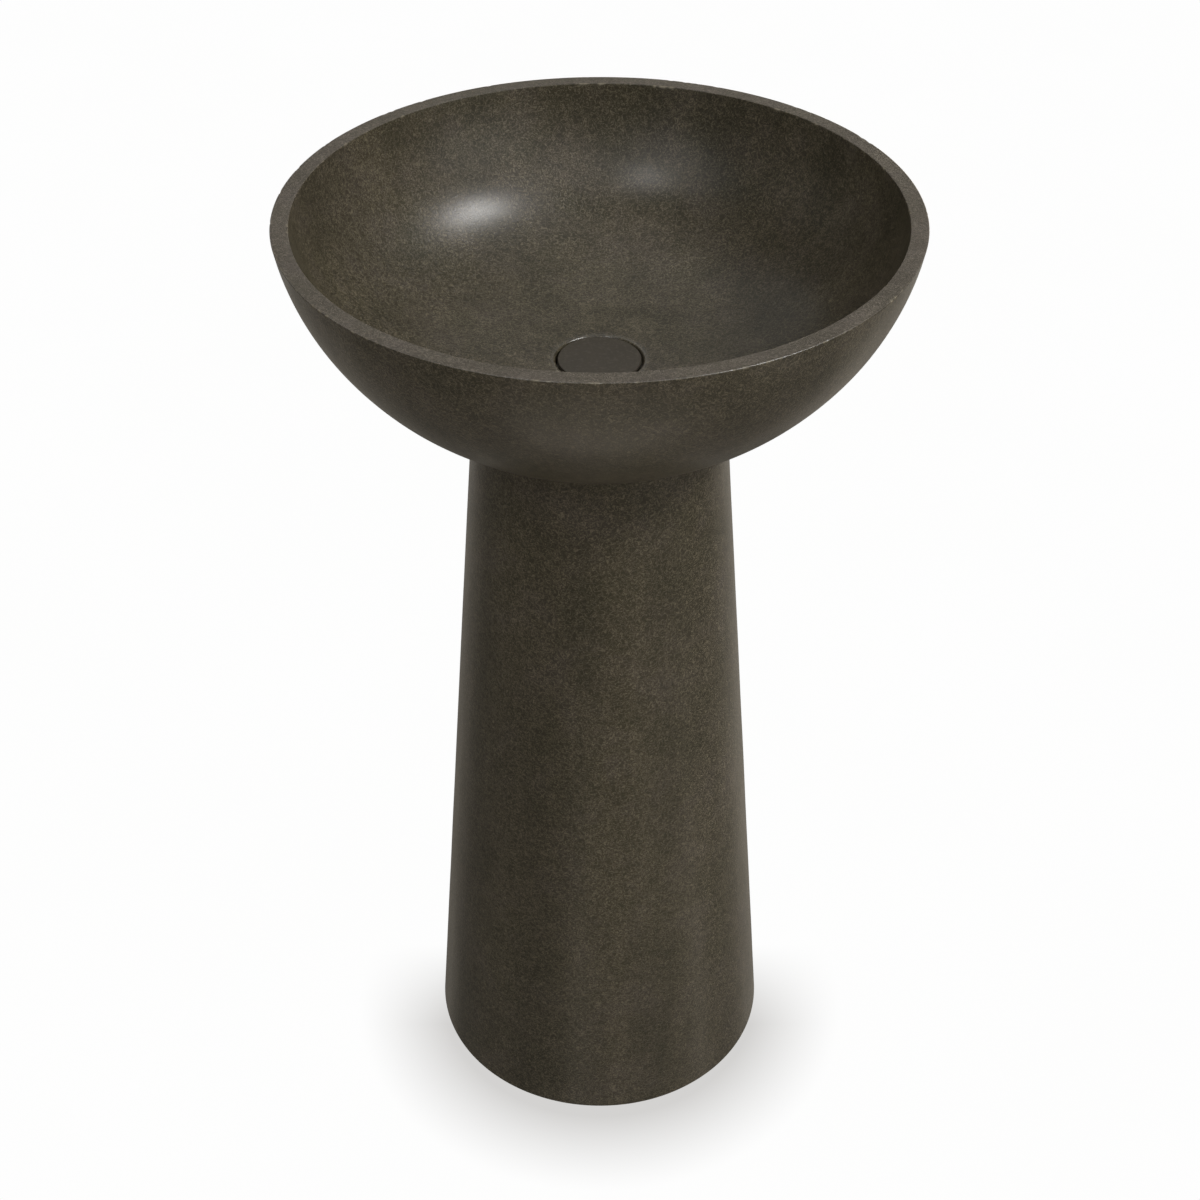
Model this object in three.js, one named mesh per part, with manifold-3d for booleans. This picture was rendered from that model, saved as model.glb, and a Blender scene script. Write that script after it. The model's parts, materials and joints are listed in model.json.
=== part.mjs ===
// Freestanding round washbasin: a cast stone bowl on a tapered hollow column, with its push waste,
// bottle trap and floor brackets.
// Millimetres, +Z up. The origin is the centre of the column's base on the floor, the front of the
// basin faces -Y and the waste pipe leaves towards +Y, through the opening in the column's back.
import * as THREE from "three";
import { mergeVertices } from "three/addons/utils/BufferGeometryUtils.js";
import Module from "manifold-3d";

const wasm = await Module();
wasm.setup();

// ---------------------------------------------------------------- driving dimensions

const GAP = 0.3; // left between pieces that bear on each other
const RUN = 0.6; // radial gap round a piece that turns or slides
const BEYOND = 5; // how far a cutter passes the face that it opens

const COARSE = 24; // facets round a small piece
const FINE = 48; // facets round the bowl and the column
const SMALL = 16; // facets round the smallest pieces

// Bowl
const RIM_HEIGHT = 850;
const RIM_RADIUS = 245;
const RIM_WALL = 14;
const FOOT_HEIGHT = 680; // its underside
const FOOT_RADIUS = 104;
const DISH_HEIGHT = 722; // lowest point of its inside
const RECESS_RADIUS = 34.5; // sinking for the waste's flange
const RECESS_FLOOR = DISH_HEIGHT - 7.2;
const DRAIN_RADIUS = 22.5; // hole through the bowl

// Column
const COLUMN_BASE_RADIUS = 154.5;
const COLUMN_TOP_RADIUS = 102;
const COLUMN_TOP = FOOT_HEIGHT - 2; // the joint between column and bowl is 2 mm thick
const COLUMN_WALL = 24;
const BACK_OPENING_HALF = 60; // half the width of the opening in the back
const BACK_OPENING_SPRING = 560; // height at which its round top begins
const BACK_OPENING_START = 40; // it is cut from here outwards along +Y

// Push waste
const TAIL_RADIUS = 21; // G 1 1/4 thread
const TAIL_BORE = 18.5;
const TAIL_END = 632;
const FLANGE_RADIUS = 31.5;
const FLANGE_UNDERSIDE = RECESS_FLOOR + 1.5;
const FLANGE_TOP = FLANGE_UNDERSIDE + 2.7;
const SEAT_RADIUS = 26; // mouth of the conical seat
const SEAT_DEPTH = 6.2;
const CAP_RADIUS = 33;
const CAP_TOP = DISH_HEIGHT + 0.4;
const CAP_UNDERSIDE = CAP_TOP - 2.8;
const CAP_SKIRT_INNER = 17;
const CAP_SKIRT_OUTER = 20;
const CAP_SKIRT_DEPTH = 4.3;
const PLUG_TRAVEL = 9;
const SPIDER_TOP = 702; // upper face of the boss that holds the cartridge
const CARTRIDGE_TOP = SPIDER_TOP + 6;
const CARTRIDGE_LOW = SPIDER_TOP - 18;
const CARTRIDGE_WALL = 2; // thickness of its floor and lid
const CARTRIDGE_RADIUS = 8;
const CARTRIDGE_COLLAR = 10.2;
const CARTRIDGE_BORE = 5.6;
const PLUNGER_ROD = 2.6; // radius
const PLUNGER_HEAD = 3; // thickness
const PLUNGER_HEAD_TOP = CARTRIDGE_TOP - CARTRIDGE_WALL - PLUG_TRAVEL - 0.5;
const WASHER_RADIUS = 34; // rubber washer under the bowl
const CONE_WASHER_LOW = FOOT_HEIGHT - 6;
const SLIP_WASHER_LOW = CONE_WASHER_LOW - 2;
const BACK_NUT_LOW = SLIP_WASHER_LOW - 13;

// Bottle trap
const PIPE_RADIUS = 16; // 32 mm waste pipe
const PIPE_BORE = 14.8;
const OUTLET_HEIGHT = 535; // axis of the pipe to the wall
const PIPE_END = RIM_RADIUS - 1; // its free end, just short of the wall behind the rim
const SOCKET_RADIUS = 21; // threaded sockets of the trap
const UNION_RADIUS = 26; // coupling nuts
const UNION_HALF = 11; // half a nut's length on a trap socket
const UNION_LIP = 6; // length of a nut's narrow end
const COLLAR_LOW = TAIL_END - 4.4; // flanged end of the inlet pipe
const COLLAR_HIGH = COLLAR_LOW + 2;
const DIP_DEPTH = 83; // how far the inlet pipe dips below the outlet's axis
const NECK_TOP = OUTLET_HEIGHT + 42;
const BRANCH_END = 84; // outlet socket's mouth, from the trap's axis
const CHAMBER_RADIUS = 26;
const CHAMBER_TOP = OUTLET_HEIGHT + 19;
const BODY_SHOULDER = OUTLET_HEIGHT - 24;
const SKIRT_LOW = BODY_SHOULDER - 18; // threaded skirt that the cup goes over
const SKIRT_RADIUS = 28.6;
const TRAP_RADIUS = 30;
const BAND_RADIUS = 34; // thicker bands where body and cup meet
const CUP_MOUTH = BODY_SHOULDER - 2.5;
const CUP_BOTTOM = OUTLET_HEIGHT - 104;
const CUP_WALL = 2.4;
const ROSETTE_RADIUS = 36;
const ROSETTE_DEPTH = 9;

// Floor brackets, measured from the column's axis
const BRACKET_FACE = 124.8; // upright's outer face
const BRACKET_STEEL = 3;
const BRACKET_HALF = 20; // half its width
const BRACKET_HEIGHT = 42;
const BRACKET_TOE = 82; // inner end of its foot
const SLOT_RADIUS = 4.5;
const SLOT_ENDS = [95.5, 106.5]; // centres of the slot's round ends
const BOLT_HEIGHT = 26;
const BOLT_RADIUS = 4;
const BOLT_END = 142;
const BOLT_HEAD = 5.3;
const INSERT_START = 129;
const INSERT_END = 143.5;
const INSERT_RADIUS = 6.2;
const PLAIN_WASHER = 1.5;
const WASHER_FACE = BRACKET_FACE - BRACKET_STEEL - GAP;
const HEAD_FACE = WASHER_FACE - PLAIN_WASHER - GAP;

// ---------------------------------------------------------------- materials

function finish(color, roughness, metalness) {
  return new THREE.MeshStandardMaterial({ color, roughness, metalness });
}

const STONE = finish(0x453f36, 0.62, 0);
const COATED = finish(0x45403d, 0.4, 0.3);
const CHROME = finish(0xd2d4d6, 0.12, 1);
const BRASS = finish(0xb59a5b, 0.3, 1);
const STEEL = finish(0x9b9da0, 0.4, 1);
const RUBBER = finish(0x1c1c1c, 0.85, 0);
const NYLON = finish(0xe6e4dc, 0.6, 0);

// ---------------------------------------------------------------- shaping helpers

// Points [radius, height] on the cubic curve with these four control points.
function curve(a, b, c, d, steps) {
  const bezier = new THREE.CubicBezierCurve(
    new THREE.Vector2(...a),
    new THREE.Vector2(...b),
    new THREE.Vector2(...c),
    new THREE.Vector2(...d),
  );
  return bezier.getPoints(steps).map((p) => [p.x, p.y]);
}

// A solid of revolution about Z. The outline [radius, height] runs anticlockwise and either starts
// and ends on the axis or is closed here.
function turned(outline, segments = COARSE) {
  const points = outline.map(([r, z]) => new THREE.Vector2(r, z));
  if (outline[0][0] > 0) points.push(points[0].clone());
  return new THREE.LatheGeometry(points, segments).rotateX(Math.PI / 2);
}

// A plain ring or tube about Z.
function ring(inner, outer, low, high, segments = COARSE) {
  return turned([[inner, low], [outer, low], [outer, high], [inner, high]], segments);
}

// A plain round bar about Z.
function bar(radius, low, high, segments = COARSE) {
  return turned([[0, low], [radius, low], [radius, high], [0, high]], segments);
}

// A ring of round section about Z.
function oRing(middle, wire, height, steps = 8) {
  const outline = [];
  for (let i = 0; i < steps; i++) {
    const a = (2 * Math.PI * i) / steps;
    outline.push([middle + wire * Math.cos(a), height + wire * Math.sin(a)]);
  }
  return turned(outline);
}

// A six-sided prism about Z with an optional round hole.
function hexagon(corner, hole, low, high) {
  const shape = new THREE.Shape();
  for (let i = 0; i < 6; i++) {
    const a = (Math.PI * i) / 3;
    const point = [corner * Math.cos(a), corner * Math.sin(a)];
    if (i) shape.lineTo(...point);
    else shape.moveTo(...point);
  }
  shape.closePath();
  if (hole) shape.holes.push(new THREE.Path().absarc(0, 0, hole, 0, 2 * Math.PI, true));
  const options = { depth: high - low, bevelEnabled: false, curveSegments: COARSE / 2 };
  return new THREE.ExtrudeGeometry(shape, options).translate(0, 0, low);
}

// A box from its lowest to its highest corner.
function block(low, high) {
  const size = high.map((v, i) => v - low[i]);
  const middle = high.map((v, i) => (v + low[i]) / 2);
  return new THREE.BoxGeometry(...size).translate(...middle);
}

// A geometry as a manifold-3d solid.
function solid(geometry) {
  const bare = geometry.clone();
  bare.deleteAttribute("normal");
  bare.deleteAttribute("uv");
  const merged = mergeVertices(bare, 1e-4);
  return new wasm.Manifold(
    new wasm.Mesh({
      numProp: 3,
      vertProperties: merged.attributes.position.array,
      triVerts: new Uint32Array(merged.index.array),
    }),
  );
}

// The body of a geometry with some geometries joined to it and others cut from it.
function carved(body, { join = [], cut = [] }) {
  let made = solid(body);
  for (const g of join) made = made.add(solid(g));
  for (const g of cut) made = made.subtract(solid(g));
  const mesh = made.getMesh();
  const position = new THREE.BufferAttribute(new Float32Array(mesh.vertProperties), 3);
  const geometry = new THREE.BufferGeometry().setAttribute("position", position);
  geometry.setIndex(new THREE.BufferAttribute(new Uint32Array(mesh.triVerts), 1));
  return geometry;
}

function add(group, name, material, geometry) {
  const mesh = new THREE.Mesh(geometry, material);
  mesh.name = name;
  group.add(mesh);
}

// ---------------------------------------------------------------- stone pieces

// The bowl: a flat foot, one sweeping curve up to the rim, a flat rim and a dished inside.
function bowl() {
  const outside = curve(
    [FOOT_RADIUS, FOOT_HEIGHT],
    [FOOT_RADIUS + 40, FOOT_HEIGHT + 15.5],
    [RIM_RADIUS - 16, RIM_HEIGHT - 101],
    [RIM_RADIUS, RIM_HEIGHT],
    14,
  );
  const rimInside = RIM_RADIUS - RIM_WALL;
  const inside = curve(
    [rimInside, RIM_HEIGHT],
    [rimInside - 12, RIM_HEIGHT - 90],
    [rimInside - 74, DISH_HEIGHT + 3],
    [RECESS_RADIUS, DISH_HEIGHT],
    12,
  );
  return turned(
    [
      [DRAIN_RADIUS, FOOT_HEIGHT],
      ...outside,
      ...inside,
      [RECESS_RADIUS, RECESS_FLOOR],
      [DRAIN_RADIUS, RECESS_FLOOR],
    ],
    FINE,
  );
}

// The opening in the column's back: straight sides from the floor and a half-round top.
function backOpening() {
  const shape = new THREE.Shape();
  shape.moveTo(-BACK_OPENING_HALF, -BEYOND);
  shape.lineTo(BACK_OPENING_HALF, -BEYOND);
  shape.lineTo(BACK_OPENING_HALF, BACK_OPENING_SPRING);
  shape.absarc(0, BACK_OPENING_SPRING, BACK_OPENING_HALF, 0, Math.PI, false);
  shape.closePath();
  const depth = COLUMN_BASE_RADIUS;
  const options = { depth, bevelEnabled: false, curveSegments: 12 };
  // The shape stands in the XZ plane and is extruded along +Y.
  const cutter = new THREE.ExtrudeGeometry(shape, options).rotateX(Math.PI / 2);
  return cutter.translate(0, depth + BACK_OPENING_START, 0);
}

// A blind hole in the wall for a threaded insert, on the side +1 or -1.
function insertHole(side) {
  const start = BRACKET_FACE - BEYOND;
  const hole = bar(INSERT_RADIUS + 0.4, start, INSERT_END + 1.5)
    .rotateY(Math.PI / 2)
    .translate(0, 0, BOLT_HEIGHT);
  return side < 0 ? hole.rotateZ(Math.PI) : hole;
}

function column() {
  const shell = turned(
    [
      [COLUMN_BASE_RADIUS - COLUMN_WALL, 0],
      [COLUMN_BASE_RADIUS, 0],
      [COLUMN_TOP_RADIUS, COLUMN_TOP],
      [COLUMN_TOP_RADIUS - COLUMN_WALL, COLUMN_TOP],
    ],
    FINE,
  );
  return carved(shell, { cut: [backOpening(), insertHole(-1), insertHole(1)] });
}

// The soft joint between the two, held back a little from both of the column's edges.
function seatRing() {
  const inner = COLUMN_TOP_RADIUS - COLUMN_WALL + 3;
  return ring(inner, COLUMN_TOP_RADIUS - 2, COLUMN_TOP + GAP, FOOT_HEIGHT - GAP, FINE);
}

// ---------------------------------------------------------------- push waste

// Flange, conical seat and threaded tail, with a three-armed spider that holds the cartridge.
function wasteBody() {
  const shell = turned([
    [TAIL_BORE, TAIL_END],
    [TAIL_RADIUS, TAIL_END],
    [TAIL_RADIUS, FLANGE_UNDERSIDE],
    [FLANGE_RADIUS, FLANGE_UNDERSIDE],
    [FLANGE_RADIUS, FLANGE_TOP - 1],
    [FLANGE_RADIUS - 1, FLANGE_TOP],
    [SEAT_RADIUS, FLANGE_TOP],
    [TAIL_BORE, FLANGE_TOP - SEAT_DEPTH],
  ]);
  const bossInner = CARTRIDGE_RADIUS + 0.4;
  const boss = ring(bossInner, bossInner + 2.1, SPIDER_TOP - 6, SPIDER_TOP);
  // Each arm runs from inside the boss's wall into the tail's wall.
  const arm = block(
    [bossInner + 1, -1.5, SPIDER_TOP - 5],
    [TAIL_BORE + 1, 1.5, SPIDER_TOP - 1],
  );
  const arms = [0, 1, 2].map((i) => arm.clone().rotateZ(Math.PI / 2 + (i * 2 * Math.PI) / 3));
  return carved(shell, { join: [boss, ...arms] });
}

function cartridge() {
  const rod = PLUNGER_ROD + GAP;
  return turned([
    [0, CARTRIDGE_LOW],
    [CARTRIDGE_RADIUS, CARTRIDGE_LOW],
    [CARTRIDGE_RADIUS, SPIDER_TOP + GAP],
    [CARTRIDGE_COLLAR, SPIDER_TOP + GAP],
    [CARTRIDGE_COLLAR, SPIDER_TOP + 2.3],
    [CARTRIDGE_RADIUS, SPIDER_TOP + 2.3],
    [CARTRIDGE_RADIUS, CARTRIDGE_TOP],
    [rod, CARTRIDGE_TOP],
    [rod, CARTRIDGE_TOP - CARTRIDGE_WALL],
    [CARTRIDGE_BORE, CARTRIDGE_TOP - CARTRIDGE_WALL],
    [CARTRIDGE_BORE, CARTRIDGE_LOW + CARTRIDGE_WALL],
    [0, CARTRIDGE_LOW + CARTRIDGE_WALL],
  ], SMALL);
}

function plunger() {
  const headRadius = CARTRIDGE_BORE - 0.4;
  const rodTop = CAP_UNDERSIDE - 1.8;
  return turned([
    [0, PLUNGER_HEAD_TOP - PLUNGER_HEAD],
    [headRadius, PLUNGER_HEAD_TOP - PLUNGER_HEAD],
    [headRadius, PLUNGER_HEAD_TOP],
    [PLUNGER_ROD, PLUNGER_HEAD_TOP],
    [PLUNGER_ROD, rodTop],
    [0, rodTop],
  ], SMALL);
}

// The spring under the plunger's head, squeezed as it is with the plug down.
function clickSpring() {
  const wire = 0.45;
  const radius = 4.2;
  const turns = 4;
  const low = CARTRIDGE_LOW + CARTRIDGE_WALL + GAP + wire;
  const high = PLUNGER_HEAD_TOP - PLUNGER_HEAD - GAP - wire;
  class Helix extends THREE.Curve {
    getPoint(t, target = new THREE.Vector3()) {
      const a = 2 * Math.PI * turns * t;
      return target.set(radius * Math.cos(a), radius * Math.sin(a), low + (high - low) * t);
    }
  }
  const section = new THREE.Shape().absarc(0, 0, wire, 0, 2 * Math.PI, false);
  const options = { extrudePath: new Helix(), steps: turns * 12, curveSegments: 3 };
  return new THREE.ExtrudeGeometry(section, options);
}

// The plug's disc, with a skirt that carries its seal and a boss that screws onto the plunger.
function drainCap() {
  const bore = PLUNGER_ROD + GAP;
  const bossRadius = 6.5;
  const bossLow = CARTRIDGE_TOP + 4;
  const edge = 0.9;
  return turned([
    [0, CAP_UNDERSIDE - 1.5],
    [bore, CAP_UNDERSIDE - 1.5],
    [bore, bossLow],
    [bossRadius, bossLow],
    [bossRadius, CAP_UNDERSIDE],
    [CAP_SKIRT_INNER, CAP_UNDERSIDE],
    [CAP_SKIRT_INNER, CAP_UNDERSIDE - CAP_SKIRT_DEPTH],
    [CAP_SKIRT_OUTER, CAP_UNDERSIDE - CAP_SKIRT_DEPTH],
    [CAP_SKIRT_OUTER, CAP_UNDERSIDE],
    [CAP_RADIUS, CAP_UNDERSIDE],
    [CAP_RADIUS, CAP_TOP - edge],
    [CAP_RADIUS - edge, CAP_TOP],
    [0, CAP_TOP],
  ]);
}

// It sits round the cap's skirt and meets the conical seat.
function plugSeal() {
  const wire = 1.35;
  return oRing(CAP_SKIRT_OUTER + GAP + wire, wire, CAP_UNDERSIDE - 1.9);
}

function flangeGasket() {
  return ring(DRAIN_RADIUS + 0.5, FLANGE_RADIUS - 1, RECESS_FLOOR + 0.2, FLANGE_UNDERSIDE - 0.2);
}

// The clamping stack under the bowl, from the top down.
function coneWasher() {
  const inner = TAIL_RADIUS + RUN;
  return turned([
    [inner, CONE_WASHER_LOW],
    [WASHER_RADIUS - 6, CONE_WASHER_LOW],
    [WASHER_RADIUS, FOOT_HEIGHT - 2.5],
    [WASHER_RADIUS, FOOT_HEIGHT - GAP],
    [inner, FOOT_HEIGHT - GAP],
  ]);
}

function slipWasher() {
  return ring(TAIL_RADIUS + RUN, WASHER_RADIUS - 3, SLIP_WASHER_LOW, CONE_WASHER_LOW - GAP);
}

function backNut() {
  return hexagon(WASHER_RADIUS - 4, TAIL_RADIUS + RUN, BACK_NUT_LOW, SLIP_WASHER_LOW - GAP);
}

// ---------------------------------------------------------------- bottle trap

// A coupling nut: a wide threaded bore and a narrower lip that traps a collar or a seal.
// It is drawn with its lip at the low end.
function couplingNut(low, high, lip) {
  const edge = 1.5;
  const narrow = PIPE_RADIUS + RUN;
  const wide = SOCKET_RADIUS + RUN;
  return turned([
    [narrow, low],
    [UNION_RADIUS - edge, low],
    [UNION_RADIUS, low + edge],
    [UNION_RADIUS, high - edge],
    [UNION_RADIUS - edge, high],
    [wide, high],
    [wide, low + lip],
    [narrow, low + lip],
  ]);
}

// A nut half over the mouth of a trap socket, which is at height 0.
function socketNut() {
  return couplingNut(-UNION_HALF, UNION_HALF, UNION_LIP);
}

// A rubber ring that is wedged between a pipe and its socket. Its thin edge is at the low end.
function wedgeSeal() {
  const inner = PIPE_RADIUS + GAP;
  const outer = SOCKET_RADIUS - 0.2;
  const low = UNION_LIP + GAP - UNION_HALF;
  return turned([[inner, low], [outer - 1.4, low], [outer, low + 2], [outer, -GAP], [inner, -GAP]]);
}

function inletNut() {
  return couplingNut(COLLAR_LOW - UNION_LIP, TAIL_END + 16, UNION_LIP - GAP);
}

function inletWasher() {
  return ring(PIPE_RADIUS + 1, SOCKET_RADIUS - 0.2, COLLAR_HIGH + GAP, TAIL_END - GAP);
}

function inletPipe() {
  const low = OUTLET_HEIGHT - DIP_DEPTH;
  const collar = SOCKET_RADIUS - 0.2;
  return turned([
    [PIPE_BORE, low],
    [PIPE_RADIUS, low],
    [PIPE_RADIUS, COLLAR_LOW],
    [collar, COLLAR_LOW],
    [collar, COLLAR_HIGH],
    [PIPE_BORE, COLLAR_HIGH],
  ]);
}

// The trap's upper body: a neck for the inlet pipe, a chamber, a socket for the outlet pipe
// towards +Y and a threaded skirt for the cup.
function trapBody() {
  const bore = PIPE_RADIUS + RUN;
  const shell = turned([
    [CHAMBER_RADIUS, SKIRT_LOW],
    [SKIRT_RADIUS, SKIRT_LOW],
    [SKIRT_RADIUS, BODY_SHOULDER],
    [BAND_RADIUS, BODY_SHOULDER],
    [BAND_RADIUS, BODY_SHOULDER + 4],
    [TRAP_RADIUS, BODY_SHOULDER + 7],
    [TRAP_RADIUS, CHAMBER_TOP + 1],
    [TRAP_RADIUS - 3, CHAMBER_TOP + 6],
    [SOCKET_RADIUS, CHAMBER_TOP + 8],
    [SOCKET_RADIUS, NECK_TOP],
    [bore, NECK_TOP],
    [bore, CHAMBER_TOP + 3],
    [CHAMBER_RADIUS, CHAMBER_TOP],
  ]);
  const alongY = (g) => g.rotateX(-Math.PI / 2).translate(0, 0, OUTLET_HEIGHT);
  const branch = alongY(bar(SOCKET_RADIUS, CHAMBER_RADIUS - 6, BRANCH_END));
  const branchBore = alongY(bar(bore, CHAMBER_RADIUS - 16, BRANCH_END + BEYOND));
  const room = bar(CHAMBER_RADIUS, SKIRT_LOW, CHAMBER_TOP);
  return carved(shell, { join: [branch], cut: [branchBore, room] });
}

function cupRing() {
  return ring(SKIRT_RADIUS + 0.9, BAND_RADIUS - 0.5, CUP_MOUTH + GAP, BODY_SHOULDER - GAP);
}

// The trap's cup, which unscrews downwards. Its mouth goes over the body's skirt.
function trapCup() {
  const mouthBore = SKIRT_RADIUS + RUN;
  const bore = TRAP_RADIUS - CUP_WALL;
  return turned([
    [0, CUP_BOTTOM],
    [20, CUP_BOTTOM],
    [TRAP_RADIUS - 3, CUP_BOTTOM + 3],
    [TRAP_RADIUS, CUP_BOTTOM + 10],
    [TRAP_RADIUS, CUP_MOUTH - 24],
    [BAND_RADIUS, CUP_MOUTH - 20],
    [BAND_RADIUS, CUP_MOUTH],
    [mouthBore, CUP_MOUTH],
    [mouthBore, CUP_MOUTH - 19.5],
    [bore, CUP_MOUTH - 21],
    [bore, CUP_BOTTOM + 11],
    [bore - 2.6, CUP_BOTTOM + 5],
    [19, CUP_BOTTOM + 3],
    [0, CUP_BOTTOM + 3],
  ]);
}

// Pieces of the outlet are drawn about their own axis, from the trap's axis outwards.
function outletPipe() {
  return ring(PIPE_BORE, PIPE_RADIUS, CHAMBER_RADIUS + 10, PIPE_END);
}

function wallRosette() {
  const back = PIPE_END + 0.4;
  const front = back - ROSETTE_DEPTH;
  const inner = PIPE_RADIUS + RUN;
  return turned([
    [inner, front],
    [inner + 3.4, front],
    [ROSETTE_RADIUS - 5, front + 3],
    [ROSETTE_RADIUS, back - 1.5],
    [ROSETTE_RADIUS, back],
    [ROSETTE_RADIUS - 6, back],
    [inner + 2.4, front + 3],
    [inner, front + 3],
  ]);
}

// ---------------------------------------------------------------- floor brackets

// Drawn on the +X side of the column: an upright against the wall and a foot on the floor.
function floorBracket() {
  const inside = BRACKET_FACE - BRACKET_STEEL;
  const upright = block([inside, -BRACKET_HALF, 0], [BRACKET_FACE, BRACKET_HALF, BRACKET_HEIGHT]);
  const foot = block([BRACKET_TOE, -BRACKET_HALF, 0], [inside + 1, BRACKET_HALF, BRACKET_STEEL]);
  const boltHole = bar(BOLT_RADIUS + RUN, inside - BEYOND, BRACKET_FACE + BEYOND)
    .rotateY(Math.PI / 2)
    .translate(0, 0, BOLT_HEIGHT);
  const slot = new THREE.Shape();
  slot.absarc(SLOT_ENDS[0], 0, SLOT_RADIUS, Math.PI / 2, (3 * Math.PI) / 2, false);
  slot.absarc(SLOT_ENDS[1], 0, SLOT_RADIUS, -Math.PI / 2, Math.PI / 2, false);
  slot.closePath();
  const options = { depth: BRACKET_STEEL + 2 * BEYOND, bevelEnabled: false, curveSegments: 6 };
  const screwSlot = new THREE.ExtrudeGeometry(slot, options).translate(0, 0, -BEYOND);
  return carved(upright, { join: [foot], cut: [boltHole, screwSlot] });
}

// Bolt, washer and insert are drawn with +Z pointing out through the column's wall.
function bracketBolt() {
  const head = hexagon(7.5, 0, HEAD_FACE - BOLT_HEAD, HEAD_FACE);
  return carved(head, { join: [bar(BOLT_RADIUS, HEAD_FACE - 1, BOLT_END, SMALL)] });
}

function bracketWasher() {
  return ring(BOLT_RADIUS + 0.5, 2 * BOLT_RADIUS, WASHER_FACE - PLAIN_WASHER, WASHER_FACE);
}

function threadInsert() {
  return ring(BOLT_RADIUS + 0.4, INSERT_RADIUS, INSERT_START, INSERT_END);
}

// ---------------------------------------------------------------- assembly

const basin = new THREE.Group();

add(basin, "basin_bowl", STONE, bowl());
add(basin, "pedestal_column", STONE, column());
add(basin, "bowl_seat_ring", RUBBER, seatRing());

add(basin, "drain_cap", COATED, drainCap());
add(basin, "plug_seal", RUBBER, plugSeal());
add(basin, "click_plunger", BRASS, plunger());
add(basin, "click_spring", STEEL, clickSpring());
add(basin, "click_cartridge", NYLON, cartridge());
add(basin, "waste_body", CHROME, wasteBody());
add(basin, "flange_gasket", RUBBER, flangeGasket());
add(basin, "cone_washer", RUBBER, coneWasher());
add(basin, "slip_washer", NYLON, slipWasher());
add(basin, "back_nut", BRASS, backNut());

add(basin, "inlet_union_nut", CHROME, inletNut());
add(basin, "inlet_flat_washer", RUBBER, inletWasher());
add(basin, "trap_inlet_pipe", CHROME, inletPipe());
add(basin, "trap_body", CHROME, trapBody());
add(basin, "cup_o_ring", RUBBER, cupRing());
add(basin, "trap_cup", CHROME, trapCup());

// The top nut has its lip upwards, so it and its seal are turned over about the neck's mouth.
const neck = new THREE.Group();
neck.position.z = NECK_TOP;
neck.rotation.x = Math.PI;
add(neck, "trap_top_nut", CHROME, socketNut());
add(neck, "trap_top_seal", RUBBER, wedgeSeal());
basin.add(neck);

// In the outlet's group local +Z is the way out, along the basin's +Y.
const outlet = new THREE.Group();
outlet.position.z = OUTLET_HEIGHT;
outlet.rotation.x = -Math.PI / 2;
add(outlet, "outlet_pipe", CHROME, outletPipe());
add(outlet, "wall_rosette", CHROME, wallRosette());
const socket = new THREE.Group();
socket.position.z = BRANCH_END;
socket.rotation.x = Math.PI;
add(socket, "outlet_nut", CHROME, socketNut());
add(socket, "outlet_seal", RUBBER, wedgeSeal());
outlet.add(socket);
basin.add(outlet);

// The two sides are the same set, turned half round the column's axis.
for (const [side, turn] of [["right", 0], ["left", Math.PI]]) {
  const fixing = new THREE.Group();
  fixing.rotation.z = turn;
  add(fixing, `floor_bracket_${side}`, STEEL, floorBracket());
  const bolt = new THREE.Group();
  bolt.position.z = BOLT_HEIGHT;
  bolt.rotation.y = Math.PI / 2;
  add(bolt, `bracket_bolt_${side}`, STEEL, bracketBolt());
  add(bolt, `bracket_washer_${side}`, STEEL, bracketWasher());
  add(bolt, `thread_insert_${side}`, BRASS, threadInsert());
  fixing.add(bolt);
  basin.add(fixing);
}

export default basin;
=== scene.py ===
# The looks of a freestanding stone washbasin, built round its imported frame: the fine surface of every
# piece, its material, the studio and the camera. Outlines are in millimetres in the frame's own axes,
# and meshes are made in metres.
import json
import math
import random

import bpy
import numpy as np
from mathutils import Matrix, Vector, noise

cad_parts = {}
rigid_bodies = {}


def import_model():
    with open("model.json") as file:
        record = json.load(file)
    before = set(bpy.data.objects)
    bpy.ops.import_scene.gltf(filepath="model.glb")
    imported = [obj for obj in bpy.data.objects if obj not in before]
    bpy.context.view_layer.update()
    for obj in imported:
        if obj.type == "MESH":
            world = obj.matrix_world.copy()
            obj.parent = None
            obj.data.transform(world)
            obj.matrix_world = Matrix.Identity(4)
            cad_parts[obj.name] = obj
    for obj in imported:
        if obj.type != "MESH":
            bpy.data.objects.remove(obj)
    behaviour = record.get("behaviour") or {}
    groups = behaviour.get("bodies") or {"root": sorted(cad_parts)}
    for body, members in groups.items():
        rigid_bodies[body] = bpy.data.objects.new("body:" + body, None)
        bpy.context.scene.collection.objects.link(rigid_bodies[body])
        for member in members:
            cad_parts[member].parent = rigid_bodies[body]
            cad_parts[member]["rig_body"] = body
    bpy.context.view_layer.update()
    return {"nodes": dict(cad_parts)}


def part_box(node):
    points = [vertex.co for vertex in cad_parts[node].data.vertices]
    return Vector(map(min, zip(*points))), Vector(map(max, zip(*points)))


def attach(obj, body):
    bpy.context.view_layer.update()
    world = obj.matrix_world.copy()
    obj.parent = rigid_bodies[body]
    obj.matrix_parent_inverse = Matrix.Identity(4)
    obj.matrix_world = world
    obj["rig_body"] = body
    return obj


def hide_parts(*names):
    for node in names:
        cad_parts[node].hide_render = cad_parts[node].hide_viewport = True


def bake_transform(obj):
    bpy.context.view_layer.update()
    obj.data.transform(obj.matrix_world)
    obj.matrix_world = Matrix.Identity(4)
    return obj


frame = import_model()

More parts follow.
